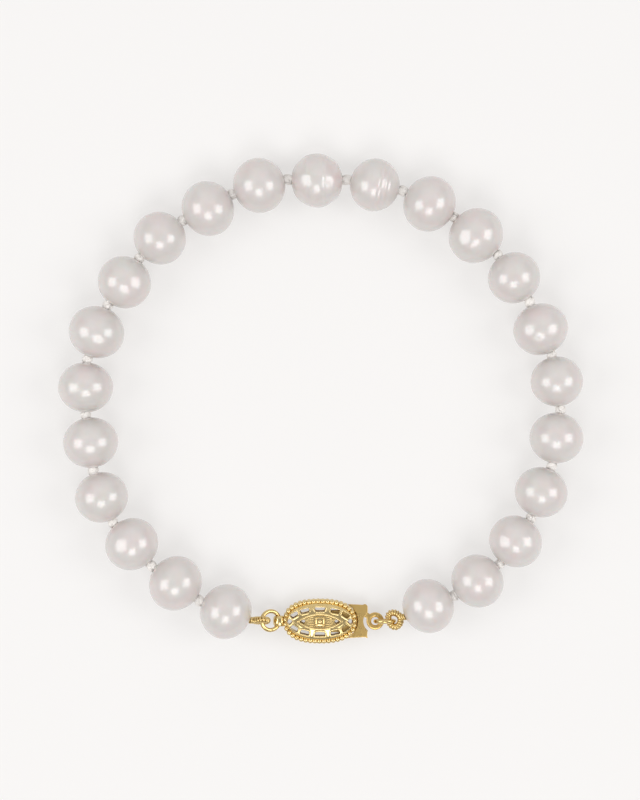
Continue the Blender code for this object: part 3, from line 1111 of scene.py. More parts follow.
    @staticmethod
    def knot_tree(silk: bpy.types.Material) -> bpy.types.NodeTree:
        """Builds the tree that sets a knot on each point, turned along the thread and rolled at random.

        Args:
            silk: The silk's material.

        Returns:
            The geometry tree.
        """
        tree, given = geometry_tree("silk_knots", {"Knot": "NodeSocketObject", "Seed": "NodeSocketInt"})
        shape = add_node(tree, "GeometryNodeObjectInfo", {"Object": given.outputs["Knot"]})
        ahead, size = (
            add_node(tree, "GeometryNodeInputNamedAttribute", {"Name": name}, data_type="FLOAT_VECTOR")
            for name in ("ahead", "size")
        )
        roll = add_node(
            tree, "FunctionNodeRandomValue", {2: 0.0, 3: math.tau, "Seed": given.outputs["Seed"]},
            data_type="FLOAT",
        )
        rolled = add_node(tree, "ShaderNodeCombineXYZ", {0: roll.outputs[1]})
        turned = add_node(tree, "FunctionNodeEulerToRotation", {0: rolled.outputs[0]})
        aligned = add_node(
            tree, "FunctionNodeAlignRotationToVector",
            {"Rotation": turned.outputs[0], "Vector": ahead.outputs[0]}, axis="X",
        )
        placed = add_node(
            tree, "GeometryNodeInstanceOnPoints",
            {"Points": given.outputs["Geometry"], "Instance": shape.outputs["Geometry"],
             "Rotation": aligned.outputs[0], "Scale": size.outputs[0]},
        )
        end_tree(tree, placed.outputs[0], silk)
        return tree


# The links between the string and the clasp


@dataclass
class ChainLinks:
    """The loop of coiled gold wire and the jump ring at each end of the string.

    Attributes:
        ring_diameter: Outer diameter of a jump ring, in millimetres as are all sizes here.
        ring_wire: Thickness of its wire.
        seam_turn: Where its ends meet, as a share of a full turn.
        seam_depth: How far the wire is pinched there, as a share of its radius.
        seam_width: Half width of that pinch.
        gimp_length: Length of a coiled loop, along the string.
        gimp_width: Width of a coiled loop.
        gimp_outer: Thickness of the coil.
        gimp_taper: How much the loop narrows towards its pearl.
        left_roll: Degrees that the left loop is turned about its length.
        coil_wire: Thickness of the coil's fine wire.
        coil_pitch: Distance from one turn of the coil to the next.
        core: Thickness of the wire under the coil.
        entry: How far the coil runs into the pearl's hole.
    """

    ring_diameter: float = 3.0
    ring_wire: float = 0.54
    seam_turn: float = 0.3
    seam_depth: float = 0.14
    seam_width: float = 0.05
    gimp_length: float = 2.6
    gimp_width: float = 2.8
    gimp_outer: float = 0.9
    gimp_taper: float = 0.15
    left_roll: float = 11.0
    coil_wire: float = 0.37
    coil_pitch: float = 0.31
    core: float = 0.46
    entry: float = 0.7

    def build(self, places: Sequence[DrilledPearl], gold: bpy.types.Material) -> None:
        """Builds the two rings and the two coiled loops.

        Args:
            places: The pearls in order.
            gold: The drawn wire's material.
        """
        winding = self.coil_tree(gold)
        ends = (("left", places[0], -1, self.left_roll), ("right", places[-1], 1, 0.0))
        for word, pearl, end, roll in ends:
            ring_node = f"jump_ring_{word}"
            ring = self.ring(f"{ring_node}_wire", gold)
            ring.data.transform(self.pose(ring_node, pearl.centre))
            settle(ring, ring_node)
            gimp_node = f"gimp_loop_{word}"
            pose = self.pose(gimp_node, pearl.centre) @ Matrix.Rotation(math.radians(roll), 4, "X")
            inwards = -end * pearl.ahead
            mouth = pose.inverted() @ pearl.end(end)
            deep = pose.inverted() @ (pearl.end(end) + self.entry * MM * inwards)
            loop = self.coiled_loop(f"{gimp_node}_coil", mouth, deep, winding, gold)
            loop.data.transform(pose)
            settle(loop, gimp_node)

    @staticmethod
    def pose(node: str, towards: Vector) -> Matrix:
        """Finds how a link that is flat about its centre, in millimetres, lies in the bracelet.

        Args:
            node: The link's CAD node.
            towards: The centre of its pearl, which the link's +X faces.

        Returns:
            The move from millimetres about the link's centre to metres in place.
        """
        points = node_points(node)
        middle = points.mean(0)
        spread = np.linalg.eigh(np.cov((points - middle).T))[1]
        normal = Vector(spread[:, 0]).normalized()
        ahead = towards - Vector(middle)
        ahead = (ahead - ahead.dot(normal) * normal).normalized()
        side = normal.cross(ahead)
        turned = np.array((ahead, side, normal))
        flat = points @ turned.T
        centre = Vector(turned.T @ ((flat.min(0) + flat.max(0)) / 2))
        move = Matrix((ahead, side, normal)).transposed().to_4x4()
        return Matrix.Translation(centre) @ move @ Matrix.Scale(MM, 4)

    def ring(self, name: str, gold: bpy.types.Material) -> bpy.types.Object:
        """Bends round wire into a ring whose ends meet in a fine seam.

        Args:
            name: The piece's name.
            gold: The wire's material.

        Returns:
            The ring about its centre.
        """
        steps = 128
        middle = (self.ring_diameter - self.ring_wire) / 2
        path = [
            Vector((middle * math.cos(angle), middle * math.sin(angle), 0)) for angle in round_angles(steps)
        ]

        def radius(k: int) -> float:
            """The wire's radius, pinched at the seam."""
            off = abs(k - steps * self.seam_turn) / steps * math.tau * middle
            return self.ring_wire / 2 * (1 - self.seam_depth * math.exp(-((off / self.seam_width) ** 2)))

        return tube(name, path, radius, 24, True, gold)

    def coiled_loop(
        self, name: str, mouth: Vector, deep: Vector, winding: bpy.types.NodeTree, gold: bpy.types.Material
    ) -> bpy.types.Object:
        """Winds fine wire round a loop that narrows towards its pearl and runs into the pearl's hole.

        Args:
            name: The piece's name.
            mouth: The hole's mouth, about the loop's centre.
            deep: A place inside the hole.
            winding: The tree that winds the wire.
            gold: The wire's material.

        Returns:
            The loop about its centre.
        """
        path = []
        for angle in round_angles(96):
            x = (self.gimp_length - self.gimp_outer) / 2 * math.cos(angle)
            y = (self.gimp_width - self.gimp_outer) / 2 * math.sin(angle)
            path.append(Vector((x, y * (1 - self.gimp_taper * math.cos(angle)), 0)))
        entry = [path[0], path[0].lerp(mouth, 0.5), mouth, mouth.lerp(deep, 0.5), deep]
        runs = (("core", path, True), ("entry_core", entry, False))
        cores = [tube(word, run, lambda k: self.core / 2, 16, closed, gold) for word, run, closed in runs]
        coils = [self.coil(run, closed, winding) for _, run, closed in runs]
        return joined(name, cores + coils)

    def coil(self, path: Sequence[Vector], closed: bool, winding: bpy.types.NodeTree) -> bpy.types.Object:
        """Winds fine wire round a path.

        Args:
            path: The path's points.
            closed: Whether the path is a loop.
            winding: The tree that winds the wire.

        Returns:
            The wound wire.
        """
        length = sum((after - before).length for before, after in zip(path, path[1:]))
        length += (path[0] - path[-1]).length if closed else 0.0
        turns = round(length / self.coil_pitch)
        values = {
            "Turns": turns,
            "Coil Radius": (self.gimp_outer - self.coil_wire) / 2,
            "Wire Radius": self.coil_wire / 2,
            "Steps": turns * 24,
        }
        return grow("coil", polyline("coil_line", path, closed), winding, values)

    @staticmethod
    def coil_tree(gold: bpy.types.Material) -> bpy.types.NodeTree:
        """Builds the tree that winds a wire round a line.

        Args:
            gold: The wire's material.

        Returns:
            The geometry tree.
        """
        tree, given = geometry_tree(
            "coiled_wire", {"Turns": "NodeSocketInt", "Coil Radius": "NodeSocketFloat",
                            "Wire Radius": "NodeSocketFloat", "Steps": "NodeSocketInt"}
        )
        line = add_node(tree, "GeometryNodeMeshToCurve", {0: given.outputs["Geometry"]})
        even = add_node(
            tree, "GeometryNodeResampleCurve", {"Curve": line.outputs[0], "Count": given.outputs["Steps"]},
            mode="COUNT",
        )
        share = add_node(tree, "GeometryNodeSplineParameter").outputs["Factor"]
        turns = add_node(
            tree, "ShaderNodeMath", {0: share, 1: given.outputs["Turns"]}, operation="MULTIPLY"
        )
        angle = add_node(tree, "ShaderNodeMath", {0: turns.outputs[0], 1: math.tau}, operation="MULTIPLY")
        normal = add_node(tree, "GeometryNodeInputNormal").outputs[0]
        ahead = add_node(tree, "GeometryNodeInputTangent").outputs[0]
        side = add_node(tree, "ShaderNodeVectorMath", {0: ahead, 1: normal}, operation="CROSS_PRODUCT")
        legs = []
        for direction, wave in ((normal, "COSINE"), (side.outputs[0], "SINE")):
            reach = add_node(tree, "ShaderNodeMath", {0: angle.outputs[0]}, operation=wave)
            leg = add_node(
                tree, "ShaderNodeVectorMath", {0: direction, "Scale": reach.outputs[0]}, operation="SCALE"
            )
            legs.append(leg.outputs[0])
        unit = add_node(tree, "ShaderNodeVectorMath", {0: legs[0], 1: legs[1]}, operation="ADD")
        offset = add_node(
            tree, "ShaderNodeVectorMath", {0: unit.outputs[0], "Scale": given.outputs["Coil Radius"]},
            operation="SCALE",
        )
        wound = add_node(
            tree, "GeometryNodeSetPosition", {"Geometry": even.outputs[0], "Offset": offset.outputs[0]}
        )
        ring = add_node(
            tree, "GeometryNodeCurvePrimitiveCircle",
            {"Resolution": 10, "Radius": given.outputs["Wire Radius"]}, mode="RADIUS",
        )
        swept = add_node(
            tree, "GeometryNodeCurveToMesh",
            {"Curve": wound.outputs[0], "Profile Curve": ring.outputs[0], "Fill Caps": True},
        )
        end_tree(tree, swept.outputs[0], gold)
        return tree


# The clasp


def superellipse(half_length: float, half_width: float, power: float, sides: int) -> Outline:
    """Draws an oval that a higher power makes squarer.

    Args:
        half_length: Half its length.
        half_width: Half its width.
        power: Two for an ellipse, more for a squarer oval.
        sides: How many corners it has.

    Returns:
        Its corners in order.
    """
    outline = []
    for k in range(sides):
        angle = math.tau * (k + 0.5) / sides
        c, s = math.cos(angle), math.sin(angle)
        x = half_length * math.copysign(abs(c) ** (2 / power), c)
        y = half_width * math.copysign(abs(s) ** (2 / power), s)
        outline.append((x, y))
    return outline


def placed_outline(outline: Outline, x: float, y: float, angle: float) -> Outline:
    """Turns an outline about its centre and moves it to a place.

    Args:
        outline: Corners about the outline's centre.
        x: The centre's place along the clasp.
        y: The centre's place across the clasp.
        angle: The turn, in radians.

    Returns:
        The corners in place.
    """
    c, s = math.cos(angle), math.sin(angle)
    return [(x + c * u - s * v, y + s * u + c * v) for u, v in outline]


@dataclass
class ClaspPlace:
    """Where the clasp's centre lies, read from its CAD solids, and its main sizes in millimetres.

    Attributes:
        half_length: Half the housing's length.
        half_width: Half its width.
        half_height: Half its height.
        oval_power: How square its oval is, with two for an ellipse.
        tongue_reach: How far the tongue reaches in from the housing's right end.
        eye_setback: How far the middle of the hook's eye lies beyond that end.
    """

    half_length: float = 4.8
    half_width: float = 2.95
    half_height: float = 1.8
    oval_power: float = 2.12
    tongue_reach: float = 3.75
    eye_setback: float = 2.4

    def centre(self) -> Vector:
        """Finds the housing's centre.

        Returns:
            The centre, in metres.
        """
        low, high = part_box("clasp_housing")
        hook_low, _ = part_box("clasp_hook")
        x = hook_low.x - (self.half_length - self.tongue_reach) * MM
        return Vector((x, (low.y + high.y) / 2, low.z + self.half_height * MM))

    def place(self, piece: bpy.types.Object) -> bpy.types.Object:
        """Moves a piece that was made about the centre, in millimetres, to its place in metres."""
        piece.data.transform(Matrix.Translation(self.centre()) @ Matrix.Scale(MM, 4))
        return piece


@dataclass(frozen=True)
class CastWindow:
    """One pierced window of the housing and its mirror images.

    Attributes:
        degrees: The window's place on its oval.
        length: Its length along the oval, in millimetres.
        width: Its width across the oval.
        turn: Degrees that it is turned in its place.
        flare: How much wider it is outside than in the middle, as a share.
        power: How square its corners are.
    """

    degrees: float
    length: float
    width: float
    turn: float = 0.0
    flare: float = 0.14
    power: float = 7.0


@dataclass
class ClaspHousing:
    """The pierced oval box with its beaded shoulders, raised pointed frame and upright eye.

    Sizes are in millimetres. The upper and the lower half mirror each other.

    Attributes:
        place: Where the clasp lies.
        wall: Thickness of the shell.
        window_oval: Half length and half width of the oval on which the windows lie.
        rim_radius: Radius of the bead of metal round each window.
        flange_radius: Radius of the smooth band round the seam.
        bead_row: Half length, half width, height and power of the oval of a row of grains.
        frame_wire: Radius of the raised pointed frame.
        hole_spacing: Distance between the two small holes inside the frame.
        flute_bend: How far the flutes draw together towards a hole, as a share.
        prong: Place on the boss's diagonal as a share, radius and rise of a corner prong.
        dome_top: Radius and rise of the ball in the middle of the boss.
        lug_hole: Hole of the upright eye.
        mouth_depth: How far the mouth for the tongue reaches in.
        voxel: Size of the squares of the cast skin.
        smoothing: How many times that skin is relaxed.
        most_faces: How many triangles the skin may have.
        levels: Shares of the half sizes at each level, from the seam up to the crown.
        windows: The windows of one quarter.
        flute_rows: Place across, as a share of half the frame's width, and length of each flute.
    """

    place: ClaspPlace
    wall: float = 0.4
    window_oval: tuple[float, float] = (3.95, 1.6)
    rim_radius: float = 0.1
    flange_radius: float = 0.24
    bead_radius: float = 0.33
    bead_pitch: float = 0.6
    bead_row: tuple[float, float, float, float] = (4.47, 2.57, 0.84, 2.5)
    frame_length: float = 5.7
    frame_width: float = 2.1
    frame_wire: float = 0.15
    hole_spacing: float = 4.45
    hole_width: float = 0.62
    flute_radius: float = 0.075
    flute_bend: float = 0.35
    boss_width: float = 1.2
    prong: tuple[float, float, float] = (0.78, 0.17, 0.02)
    dome_top: tuple[float, float] = (0.36, -0.13)
    lug_hole: float = 0.9
    lug_band: float = 0.4
    lug_width: float = 1.35
    mouth_depth: float = 2.6
    mouth_half_width: float = 1.63
    mouth_half_height: float = 0.7
    voxel: float = 0.055
    smoothing: int = 2
    most_faces: int = 170000

    levels: ClassVar[tuple[tuple[float, float, float], ...]] = (
        (0.93, 0.88, 0.0),
        (0.93, 0.87, 0.3),
        (0.925, 0.85, 0.5),
        (0.91, 0.78, 0.68),
        (0.88, 0.68, 0.8),
        (0.78, 0.53, 0.88),
        (0.62, 0.36, 0.93),
    )
    windows: ClassVar[tuple[CastWindow, ...]] = (
        CastWindow(90, 1.3, 0.52),
        CastWindow(60, 1.12, 0.54),
        CastWindow(33, 1.0, 0.56),
        CastWindow(0, 0.6, 0.6, 45.0, flare=0.0),
    )
    flute_rows: ClassVar[tuple[tuple[float, float], ...]] = (
        (-0.58, 0.9), (-0.3, 1.2), (0.0, 1.15), (0.3, 1.2), (0.58, 0.9)
    )

    def build(self, gold: bpy.types.Material) -> None:
        """Builds the housing.

        Args:
            gold: The cast gold.
        """
        for piece in (self.body(gold), self.crown(gold), self.beads(gold)):
            settle(self.place.place(piece), "clasp_housing")

    def shell(self, name: str, inset: float) -> bpy.types.Object:
        """Makes the closed dome above and below the seam.

        Args:
            name: The object's name.
            inset: How far it is drawn in on every side.

        Returns:
            The dome.
        """
        levels = [(level, -1) for level in reversed(self.levels[1:])]
        levels += [(level, 1) for level in self.levels]
        rows = []
        for (length, width, height), up in levels:
            half_length = self.place.half_length * length - inset
            half_width = self.place.half_width * width - inset
            z = up * (self.place.half_height * height - inset) if height else 0.0
            outline = superellipse(half_length, half_width, self.place.oval_power, 128)
            rows.append([(x, y, z) for x, y in outline])
        return loft(name, rows, False)

    def dome(self, x: float, y: float) -> float:
        """Finds how high the shell stands over a point.

        Args:
            x: The point's place along the clasp.
            y: The point's place across the clasp.

        Returns:
            The height above the seam, or 0 outside the shell.
        """
        power = self.place.oval_power

        def reach(level: tuple[float, float, float]) -> float:
            """Compares the point's distance with a level's outline.

            Args:
                level: The level.

            Returns:
                Less than one where the point is inside the outline.
            """
            length, width, _ = level
            along = abs(x) / (self.place.half_length * length)
            across = abs(y) / (self.place.half_width * width)
            return along ** power + across ** power

        if reach(self.levels[0]) > 1:
            return 0.0
        for below, above in zip(self.levels, self.levels[1:]):
            if reach(above) > 1:
                inner, outer = reach(above), reach(below)
                share = (1 - outer) / max(inner - outer, 1e-9)
                return self.place.half_height * (below[2] + share * (above[2] - below[2]))
        return self.place.half_height * self.levels[-1][2]

    def window_places(self) -> list[tuple[CastWindow, float, float, float]]:
        """Mirrors the windows to all four quarters.

        Returns:
            Each window with its place along and across the clasp and its turn.
        """
        along, across = self.window_oval
        places = []
        for window in self.windows:
            turned = window.degrees
            for degrees in sorted({turned, 180 - turned, 180 + turned, (360 - turned) % 360}):
                angle = math.radians(degrees)
                x, y = along * math.cos(angle), across * math.sin(angle)
                lie = math.atan2(across * math.cos(angle), -along * math.sin(angle))
                places.append((window, x, y, lie + math.radians(window.turn)))
        return places

    def window_outline(self, window: CastWindow, grow_by: float) -> Outline:
        """Draws a window's rounded outline about its centre.

        Args:
            window: The window.
            grow_by: How far the outline is grown on every side.

        Returns:
            Its corners in order.
        """
        half_length = window.length / 2 + grow_by
        half_width = window.width / 2 + grow_by
        outline = superellipse(half_length, half_width, window.power, 24)
        return [(x * (1 - window.flare * y / half_width), y) for x, y in outline]

    def lug(self, x: float) -> bpy.types.Object:
        """Bends a broad band with rounded edges to the upright eye.

        Args:
            x: The eye's place along the clasp.

        Returns:
            The eye.
        """
        middle = (self.lug_hole + self.lug_band) / 2
        section = superellipse(self.lug_band / 2 * 1.1, self.lug_width / 2, 2.05, 24)
        rows = []
        for angle in round_angles(48):
            level = Vector((math.cos(angle), 0, math.sin(angle)))
            rows.append([
                Vector((x, 0, 0)) + (middle + out) * level + Vector((0, across, 0)) for out, across in section
            ])
        return loft("lug", rows, True)

    def drum(self, name: str, x: float, radius: float, depth: float) -> bpy.types.Object:
        """Makes a round drum that lies across the clasp.

        Args:
            name: The object's name.
            x: Its place along the clasp.
            radius: Its radius.
            depth: Its length across the clasp.

        Returns:
            The drum.
        """
        outline = [(radius * math.cos(angle), radius * math.sin(angle)) for angle in round_angles(48)]
        return loft(name, [[(x + u, y, v) for u, v in outline] for y in (-depth / 2, depth / 2)], False)

    def flange(self) -> bpy.types.Object:
        """Makes the smooth band that runs round the seam.

        Returns:
            The band.
        """
        inset = self.flange_radius + 0.05
        outline = superellipse(
            self.place.half_length - inset, self.place.half_width - inset, self.place.oval_power, 160
        )
        path = [Vector((x, y, 0)) for x, y in outline]
        return tube("flange", path, lambda k: self.flange_radius, 14, True)

    def body(self, gold: bpy.types.Material) -> bpy.types.Object:
        """Casts the pierced shell with its window rims, flange and eye in one skin.

        Args:
            gold: The cast gold.

        Returns:
            The body about the clasp's centre.
        """
        made = self.shell("clasp_housing_body", 0.0)
        eye_x = -self.place.half_length - self.lug_hole / 2
        combine(made, [self.lug(eye_x), self.flange()], "UNION")

        # Each cutter reaches past the metal on both sides, so that it cuts right through.
        reach = self.place.half_height + 0.5
        cutters = [self.shell("hollow", self.wall)]
        for k, (window, x, y, turn) in enumerate(self.window_places()):
            outline = placed_outline(self.window_outline(window, 0.0), x, y, turn)
            cutters.append(prism(f"window_{k}", outline, -reach, reach))
        hole = superellipse(self.hole_width / 2, self.hole_width / 2, 6.0, 16)
        for side in (-1, 1):
            outline = placed_outline(hole, side * self.hole_spacing / 2, 0, math.pi / 4)
            cutters.append(prism(f"frame_hole_{side}", outline, -reach, reach))
        mouth_length = self.mouth_depth + 0.6
        mouth_x = self.place.half_length + 0.6 - mouth_length / 2
        corners = [(-1, -1), (1, -1), (1, 1), (-1, 1)]
        mouth = [(mouth_x + u * mouth_length / 2, v * self.mouth_half_width) for u, v in corners]
        cutters.append(prism("mouth", mouth, -self.mouth_half_height, self.mouth_half_height))
        cutters.append(self.drum("lug_hole", eye_x, self.lug_hole / 2, self.lug_width + 0.4))
        combine(made, cutters, "DIFFERENCE")

        rims = []
        for window, x, y, turn in self.window_places():
            outline = placed_outline(self.window_outline(window, self.rim_radius), x, y, turn)
            for side in (-1, 1):
                path = [Vector((u, v, side * (self.dome(u, v) - 0.03))) for u, v in outline]
                rims.append(tube("rim", path, lambda k: self.rim_radius, 8, True))
        made = joined("clasp_housing_body", [made, *rims])
        melt_edges(made, self.voxel, self.smoothing, self.most_faces, gold)
        return made

    def crown(self, gold: bpy.types.Material) -> bpy.types.Object:
        """Builds the raised pointed frame, its flutes and the square four-prong boss, above and below.

        Args:
            gold: The cast gold.

        Returns:
            The details about the clasp's centre.
        """
        top = self.place.half_height
        parts = []
        outline = self.pointed_oval(self.frame_length / 2, self.frame_width / 2 - self.frame_wire * 0.5)
        for side in (-1, 1):
            path = [Vector((x, y, side * (top - self.frame_wire))) for x, y in outline]
            parts.append(tube("frame_wire", path, lambda k: self.frame_wire, 12, True, gold))
            parts += self.flutes(side, gold)
            parts += self.boss(side, gold)
        return joined("clasp_housing_crown", parts)

    @staticmethod
    def pointed_oval(half_length: float, half_width: float) -> Outline:
        """Draws two shallow arcs that meet in a point at either end.

        Args:
            half_length: Half the distance between the points.
            half_width: How far each arc bulges.

        Returns:
            The corners in order.
        """
        steps = 40
        radius = (half_length ** 2 + half_width ** 2) / (2 * half_width)
        spread = math.asin(half_length / radius)
        upper = []
        for k in range(steps):
            angle = spread * (1 - 2 * k / steps)
            upper.append((radius * math.sin(angle), radius * math.cos(angle) - radius + half_width))
        return upper + [(-x, -y) for x, y in upper]

    def flutes(self, side: int, gold: bpy.types.Material) -> list[bpy.types.Object]:
        """Lays low ridges along the plate inside the frame, between the boss and each hole.

        Args:
            side: The upper (1) or the lower (-1) plate.
            gold: The cast gold.

        Returns:
            The ridges.
        """
        steps = 12
        height = side * (self.place.half_height * self.levels[-1][2] + 0.005)
        start = self.boss_width / 2 + 0.1
        made = []

        def radius(k: int) -> float:
            """The ridge's radius, which dies away at both ends."""
            return self.flute_radius * math.sin(math.pi * (k + 0.6) / (steps + 0.2)) ** 0.4

        for across, length in self.flute_rows:
            for along in (-1, 1):
                path = []
                for k in range(steps):
                    share = k / (steps - 1)
                    y = across * self.frame_width / 2 * (1 - self.flute_bend * share ** 2)
                    path.append(Vector((along * (start + length * share), y, height)))
                made.append(tube("flute", path, radius, 8, False, gold))
        return made

    def boss(self, side: int, gold: bpy.types.Material) -> list[bpy.types.Object]:
        """Builds the small square setting: a bevelled block, a domed middle and a prong at each corner.

        Args:
            side: The upper (1) or the lower (-1) boss.
            gold: The cast gold.

        Returns:
            The setting's parts.
        """
        base = self.place.half_height * self.levels[-1][2] - 0.05
        top = self.place.half_height
        half = self.boss_width / 2
        rows = []
        for share, z in ((1.0, base), (0.98, top - 0.03), (0.86, top + 0.04), (0.55, top + 0.05)):
            outline = superellipse(half * share, half * share, 7.0, 32)
            rows.append([(x, y, side * z) for x, y in outline])
        made = [loft("block", rows, False, gold)]
        place, *prong = self.prong
        knobs = [(u * half * place, v * half * place, *prong) for u in (-1, 1) for v in (-1, 1)]
        for x, y, radius, rise in [*knobs, (0.0, 0.0, *self.dome_top)]:
            made.append(self.knob(Vector((x, y, side * (top + rise))), radius, gold))
        return made

    @staticmethod
    def knob(centre: Vector, radius: float, gold: bpy.types.Material) -> bpy.types.Object:
        """Makes a small ball of metal.

        Args:
            centre: The ball's centre.
            radius: Its radius.
            gold: The cast gold.

        Returns:
            The ball.
        """
        shape = bmesh.new()
        bmesh.ops.create_icosphere(shape, subdivisions=3, radius=radius, matrix=Matrix.Translation(centre))
        mesh = bpy.data.meshes.new("knob")
        shape.to_mesh(mesh)
        shape.free()
        mesh.materials.append(gold)
        return linked("knob", mesh)

    def beads(self, gold: bpy.types.Material) -> bpy.types.Object:
        """Sets a row of grains round the upper and the lower shoulder.

        Args:
            gold: The cast gold.

        Returns:
            Both rows about the clasp's centre.
        """
        tree = self.grain_tree(gold)
        half_length, half_width, height, power = self.bead_row
        outline = superellipse(half_length, half_width, power, 240)
        length = sum(math.dist(outline[k], outline[k - 1]) for k in range(len(outline)))
        values = {"Count": round(length / self.bead_pitch), "Grain Radius": self.bead_radius}
        rows = []
        for side in (-1, 1):
            path = [(x, y, side * height) for x, y in outline]
            rows.append(grow(f"grains_{side}", polyline("grain_line", path, True), tree, values))
        return joined("clasp_housing_beads", rows)

    @staticmethod
    def grain_tree(gold: bpy.types.Material) -> bpy.types.NodeTree:
        """Builds the tree that sets grains at even distances along a line.

        Args:
            gold: The cast gold.

        Returns:
            The geometry tree.
        """
        tree, given = geometry_tree(
            "grain_row", {"Count": "NodeSocketInt", "Grain Radius": "NodeSocketFloat"}
        )
        line = add_node(tree, "GeometryNodeMeshToCurve", {0: given.outputs["Geometry"]})
        even = add_node(
            tree, "GeometryNodeResampleCurve", {"Curve": line.outputs[0], "Count": given.outputs["Count"]},
            mode="COUNT",
        )
        grain = add_node(
            tree, "GeometryNodeMeshIcoSphere", {"Radius": given.outputs["Grain Radius"], "Subdivisions": 3}
        )
        placed = add_node(
            tree, "GeometryNodeInstanceOnPoints", {"Points": even.outputs[0], "Instance": grain.outputs[0]}
        )
        end_tree(tree, placed.outputs[0], gold)
        return tree


@dataclass
class ClaspHook:
    """The folded slotted tongue with its winged plate, neck and flat eye.

    Attributes:
        place: Where the clasp lies.
        plate_thickness: Thickness of the plate, in millimetres as are all sizes here.
        wing_span: Distance from wing tip to wing tip.
        wing_reach: How far the wings reach beyond the housing.
        wing_corner: Radius of the upper wing's outer corner.
        clearance: Gap between the plate and the housing.
        eye_gap: Gap between the eye and the bay in the plate.
        neck_degrees: Where the neck joins the eye.
        leaf: Thickness of the folded strip.
        leaf_setback: How far the upper leaf stops short of the housing's end.
        voxel: Size of the squares of the melted skin.
        smoothing: How many times that skin is relaxed.
        most_faces: How many triangles the skin may have.
    """

    place: ClaspPlace
    plate_thickness: float = 0.45
    wing_span: float = 4.44
    wing_reach: float = 1.43
    wing_corner: float = 0.42
    clearance: float = 0.12
    eye_outer: float = 2.3
    eye_hole: float = 1.04
    eye_gap: float = 0.4
    eye_thickness: float = 0.43
    neck_width: float = 0.7
    neck_degrees: float = 145.0
    leaf: float = 0.33
    leaf_setback: float = 0.6
    tongue_width: float = 2.86
    tongue_height: float = 1.0
    slot_width: float = 0.7
    voxel: float = 0.045
    smoothing: int = 3
    most_faces: int = 120000

    def build(self, gold: bpy.types.Material) -> None:
        """Builds the hook.

        Args:
            gold: The rolled sheet gold.
        """
        half = self.plate_thickness / 2
        made = prism("clasp_hook_plate", self.plate(), -half, half)
        combine(made, [self.tongue(), self.eye(), self.neck()], "UNION")
        start = self.place.half_length - self.place.tongue_reach + 2 * self.leaf
        end = self.place.half_length - self.clearance
        slot = superellipse((end - start) / 2, self.slot_width / 2, 5.0, 32)
        slot = placed_outline(slot, (start + end) / 2, 0, 0)
        combine(made, [prism("slot", slot, -self.tongue_height, self.tongue_height)], "DIFFERENCE")
        melt_edges(made, self.voxel, self.smoothing, self.most_faces, gold)
        settle(self.place.place(made), "clasp_hook")

    def plate(self) -> Outline:
        """Draws the winged plate: a curved inner edge, a round bay about the eye and two wings.

        Returns:
            The plate's corners in order.
        """
        half_span = self.wing_span / 2
        right = self.place.half_length + self.wing_reach
        inner_length = self.place.half_length + self.clearance
        inner_width = self.place.half_width + self.clearance
        power = self.place.oval_power
        steps = 32
        inner = []
        for k in range(steps + 1):
            y = half_span * (1 - 2 * k / steps)
            x = inner_length * (1 - (abs(y) / inner_width) ** power) ** (1 / power)
            inner.append((x, y))
        eye_x = self.place.half_length + self.place.eye_setback
        clear = self.eye_outer / 2 + self.eye_gap
        opening = math.acos((eye_x - right) / clear)
        bay = []
        for k in range(steps + 1):
            angle = opening * (2 * k / steps - 1)
            bay.append((eye_x - clear * math.cos(angle), clear * math.sin(angle)))
        # The lower wing ends in a small toe, the upper one in a round corner behind a shallow waist.
        toe = ((0.35, 0.12), (0.12, 0.0), (0.0, 0.06), (0.08, 0.35))
        lower = [(right - back, -half_span + up) for back, up in toe]
        corner = self.wing_corner
        upper = []
        for k in range(9):
            angle = math.pi / 2 * k / 8
            upper.append(
                (right - corner + corner * math.cos(angle), half_span - corner + corner * math.sin(angle))
            )
        waist = (right - 0.62, half_span - 0.1)
        return inner + lower + bay + upper + [waist]

    def eye(self) -> bpy.types.Object:
        """Makes the flat ring at the hook's end.

        Returns:
            The ring.
        """
        band = (self.eye_outer - self.eye_hole) / 4
        centre = Vector((self.place.half_length + self.place.eye_setback, 0, 0))
        section = superellipse(band, self.eye_thickness / 2, 3.5, 16)
        rows = []
        for angle in round_angles(72):
            level = Vector((math.cos(angle), math.sin(angle), 0))
            middle = centre + (self.eye_hole / 2 + band) * level
            rows.append([middle + out * level + Vector((0, 0, up)) for out, up in section])
        return loft("eye", rows, True)

    def neck(self) -> bpy.types.Object:
        """Makes the short bridge between the plate and the eye.

        Returns:
            The bridge.
        """
        angle = math.radians(self.neck_degrees)
        middle = self.eye_outer / 2 + self.eye_gap / 2
        x = self.place.half_length + self.place.eye_setback + middle * math.cos(angle)
        outline = superellipse(self.eye_gap / 2 + 0.25, self.neck_width / 2, 6.0, 24)
        return prism("neck", placed_outline(outline, x, middle * math.sin(angle), angle), -0.2, 0.2)

    def tongue(self) -> bpy.types.Object:
        """Folds the strip back on itself inside the box, an open sideways U in section.

        Returns:
            The strip.
        """
        outer = self.tongue_height / 2
        inner = outer - self.leaf
        fold_x = self.place.half_length - self.place.tongue_reach + outer
        lower_end = self.place.half_length + 0.4
        upper_end = self.place.half_length - self.leaf_setback
        steps = 16
        arc = [math.pi / 2 + math.pi * k / steps for k in range(steps + 1)]
        section = [(upper_end, inner), (upper_end, outer)]
        section += [(fold_x + outer * math.cos(a), outer * math.sin(a)) for a in arc]
        section += [(lower_end, -outer), (lower_end, -inner)]
        section += [(fold_x + inner * math.cos(a), inner * math.sin(a)) for a in reversed(arc)]
        half = self.tongue_width / 2
        return loft("tongue", [[(x, y, z) for x, z in section] for y in (-half, half)], False)


# The studio


@dataclass(frozen=True)
class Softbox:
    """One soft square light.

    Attributes:
        name: The light's name.
        direction: Where it hangs, seen from the bracelet.
        size: Length of its sides, in metres.
        power: Its power, in watts.
    """

    name: str
    direction: Point
    size: float
    power: float


